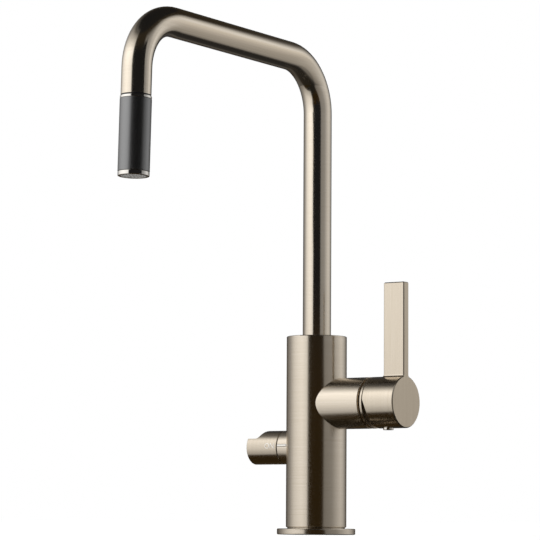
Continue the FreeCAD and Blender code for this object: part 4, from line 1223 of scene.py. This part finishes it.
hose_inside = sweep_hose("pullout_hose_inside", inner_rings, False)
hose = sweep_hose("pullout_hose_braided", outer_rings, True)
print("hose pieces have", len(hose_inside.data.vertices), "and", len(hose.data.vertices), "points")


# %% [markdown]
# The braid is grey nylon with a darker strand among the light ones, and the woven yarn has a faint sheen. Its
# colour follows the same two families of strands as the relief, from the coordinates that the sweep wrote for
# each corner.

# %% Mix the nylon braid
BRAID_LIGHT = "#6A6A6C"
BRAID_DARK = "#3C3C3E"
NYLON_IOR = 1.53
NYLON_ROUGHNESS = 0.42
NYLON_SHEEN = 0.2

braid_finish = blank_finish("nylon_braid_grey")
tree = braid_finish.node_tree
braid_at = add_node(tree, "ShaderNodeUVMap", {"uv_map": "braid"})
parts = add_node(tree, "ShaderNodeSeparateXYZ", links={"Vector": braid_at.outputs["UV"]})
strand_number = add_node(
    tree,
    "ShaderNodeMath",
    {"operation": "MULTIPLY", 1: float(STRANDS)},
    {0: parts.outputs["X"]},
)
strand_run = add_node(
    tree,
    "ShaderNodeMath",
    {"operation": "DIVIDE", 1: STRAND_PITCH},
    {0: parts.outputs["Y"]},
)
strand_place = {0: strand_number.outputs[0], 1: strand_run.outputs[0]}
left_family = add_node(tree, "ShaderNodeMath", {"operation": "ADD"}, strand_place)
right_family = add_node(tree, "ShaderNodeMath", {"operation": "SUBTRACT"}, strand_place)
families = add_node(
    tree,
    "ShaderNodeCombineXYZ",
    links={"X": left_family.outputs[0], "Y": right_family.outputs[0]},
)
checks = add_node(
    tree,
    "ShaderNodeTexChecker",
    {"Scale": 1.0, "Color1": linear(BRAID_LIGHT), "Color2": linear(BRAID_DARK)},
    {"Vector": families.outputs["Vector"]},
)
shader = add_node(
    tree,
    "ShaderNodeBsdfPrincipled",
    {"Roughness": NYLON_ROUGHNESS, "IOR": NYLON_IOR, "Sheen Weight": NYLON_SHEEN},
    {"Base Color": checks.outputs["Color"]},
)
add_node(tree, "ShaderNodeOutputMaterial", links={"Surface": shader.outputs[0]})
print("braid strands are", round(STRAND_PITCH / MM, 2), "mm apart")


# %% [markdown]
# Both pieces stand for the one hose of the CAD model, which is hidden. The inner piece goes with the spout,
# and the outer piece keeps its place as it was swept.

# %% Join the hose to the spout
for piece in (hose_inside, hose):
    piece.data.materials.append(braid_finish)
    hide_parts("pullout_hose")
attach(hose_inside, "spout")
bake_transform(hose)


# %% [markdown]
# ## The word on the side valve
#
# The side valve shuts off a dishwasher, and its knob says ON where it meets the mark on the body. The
# letters are cast a little proud of the knob. A text object gives the letters flat, and each point is then
# rolled onto the knob: its height in the text becomes an angle round the knob's axis. Long edges are cut
# first, so that they can bend.

# %% Roll the letters onto the knob
VALVE_AXIS_HEIGHT = 73.5 * MM
VALVE_RADIUS = 14.35 * MM
LETTER_HEIGHT = 4.7 * MM
LETTER_RISE = 0.14 * MM
LETTERS_FROM = -43.6 * MM
LETTERS_TO = -34.1 * MM
LETTERS_ABOVE_AXIS = 1.2 * MM
FLAT_SIZE = 1.0
FLAT_DEPTH = 0.05
FLAT_LONGEST_EDGE = 0.2
CURVE_STEPS = 6
EDGE_CUTS = 3


def roll_onto_valve(across, height, rise):
    """A place on the valve's front: across along its axis, height round it, rise out of its surface."""
    angle = (height - VALVE_AXIS_HEIGHT) / VALVE_RADIUS
    radius = VALVE_RADIUS + rise
    return Vector((across, -radius * math.cos(angle), VALVE_AXIS_HEIGHT + radius * math.sin(angle)))


letters_curve = bpy.data.curves.new("valve_word", "FONT")
letters_curve.body = "ON"
letters_curve.size = FLAT_SIZE
letters_curve.extrude = FLAT_DEPTH
letters_curve.resolution_u = CURVE_STEPS
letters_mesh = evaluated_mesh("valve_word", letters_curve)
letters_shape = bmesh.new()
letters_shape.from_mesh(letters_mesh)
bmesh.ops.subdivide_edges(
    letters_shape,
    edges=[edge for edge in letters_shape.edges if edge.calc_length() > FLAT_LONGEST_EDGE],
    cuts=EDGE_CUTS,
)
xs = [vertex.co.x for vertex in letters_shape.verts]
ys = [vertex.co.y for vertex in letters_shape.verts]
for vertex in letters_shape.verts:
    share_across = (vertex.co.x - min(xs)) / (max(xs) - min(xs))
    share_up = (vertex.co.y - min(ys)) / (max(ys) - min(ys)) - 0.5
    across = LETTERS_FROM + share_across * (LETTERS_TO - LETTERS_FROM)
    height = VALVE_AXIS_HEIGHT + LETTERS_ABOVE_AXIS + share_up * LETTER_HEIGHT
    rise = LETTER_RISE if vertex.co.z > 0.0 else -LETTER_RISE
    vertex.co = roll_onto_valve(across, height, rise)
letters_shape.to_mesh(letters_mesh)
letters_shape.free()
letters_mesh.name = "valve_word_on"
letters = put_in_scene("valve_word_on", letters_mesh)
dress(letters, polished_nickel)
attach(letters, "dishwasher_valve")
print("letters stand", LETTER_RISE / MM, "mm proud")


# %% [markdown]
# The mark beside the knob is a slim raised bar on the body's valve neck. It is rolled on in the same way,
# with a narrow top and sloping sides, so that its edges catch the light. Its section is given as shares of
# its half width and of its rise, and its feet are sunk a little into the neck.

# %% Raise the index mark
MARK_FROM = -30.6 * MM
MARK_TO = -21.6 * MM
MARK_HALF_WIDTH = 1.2 * MM
MARK_ABOVE_AXIS = 1.5 * MM
MARK_RISE = 0.22 * MM
MARK_STEPS = 6
MARK_SECTION = ((-1.0, -0.3), (-0.6, 1.0), (0.6, 1.0), (1.0, -0.3))

mark_shape = bmesh.new()
columns = []
for step in range(MARK_STEPS + 1):
    across = MARK_FROM + (MARK_TO - MARK_FROM) * step / MARK_STEPS
    column = []
    for side_share, rise_share in MARK_SECTION:
        height = VALVE_AXIS_HEIGHT + MARK_ABOVE_AXIS + side_share * MARK_HALF_WIDTH
        column.append(mark_shape.verts.new(roll_onto_valve(across, height, rise_share * MARK_RISE)))
    columns.append(column)
for here, ahead in zip(columns, columns[1:]):
    for low in range(len(MARK_SECTION) - 1):
        mark_shape.faces.new((here[low], here[low + 1], ahead[low + 1], ahead[low]))
for end in (columns[0], columns[-1]):
    mark_shape.faces.new(end)
bmesh.ops.recalc_face_normals(mark_shape, faces=mark_shape.faces)
mark = put_in_scene("valve_index_mark", mesh_from("valve_index_mark", mark_shape))
dress(mark, polished_nickel)
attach(mark, "mixer_body")
print("index mark is", round((MARK_TO - MARK_FROM) / MM, 1), "mm long")
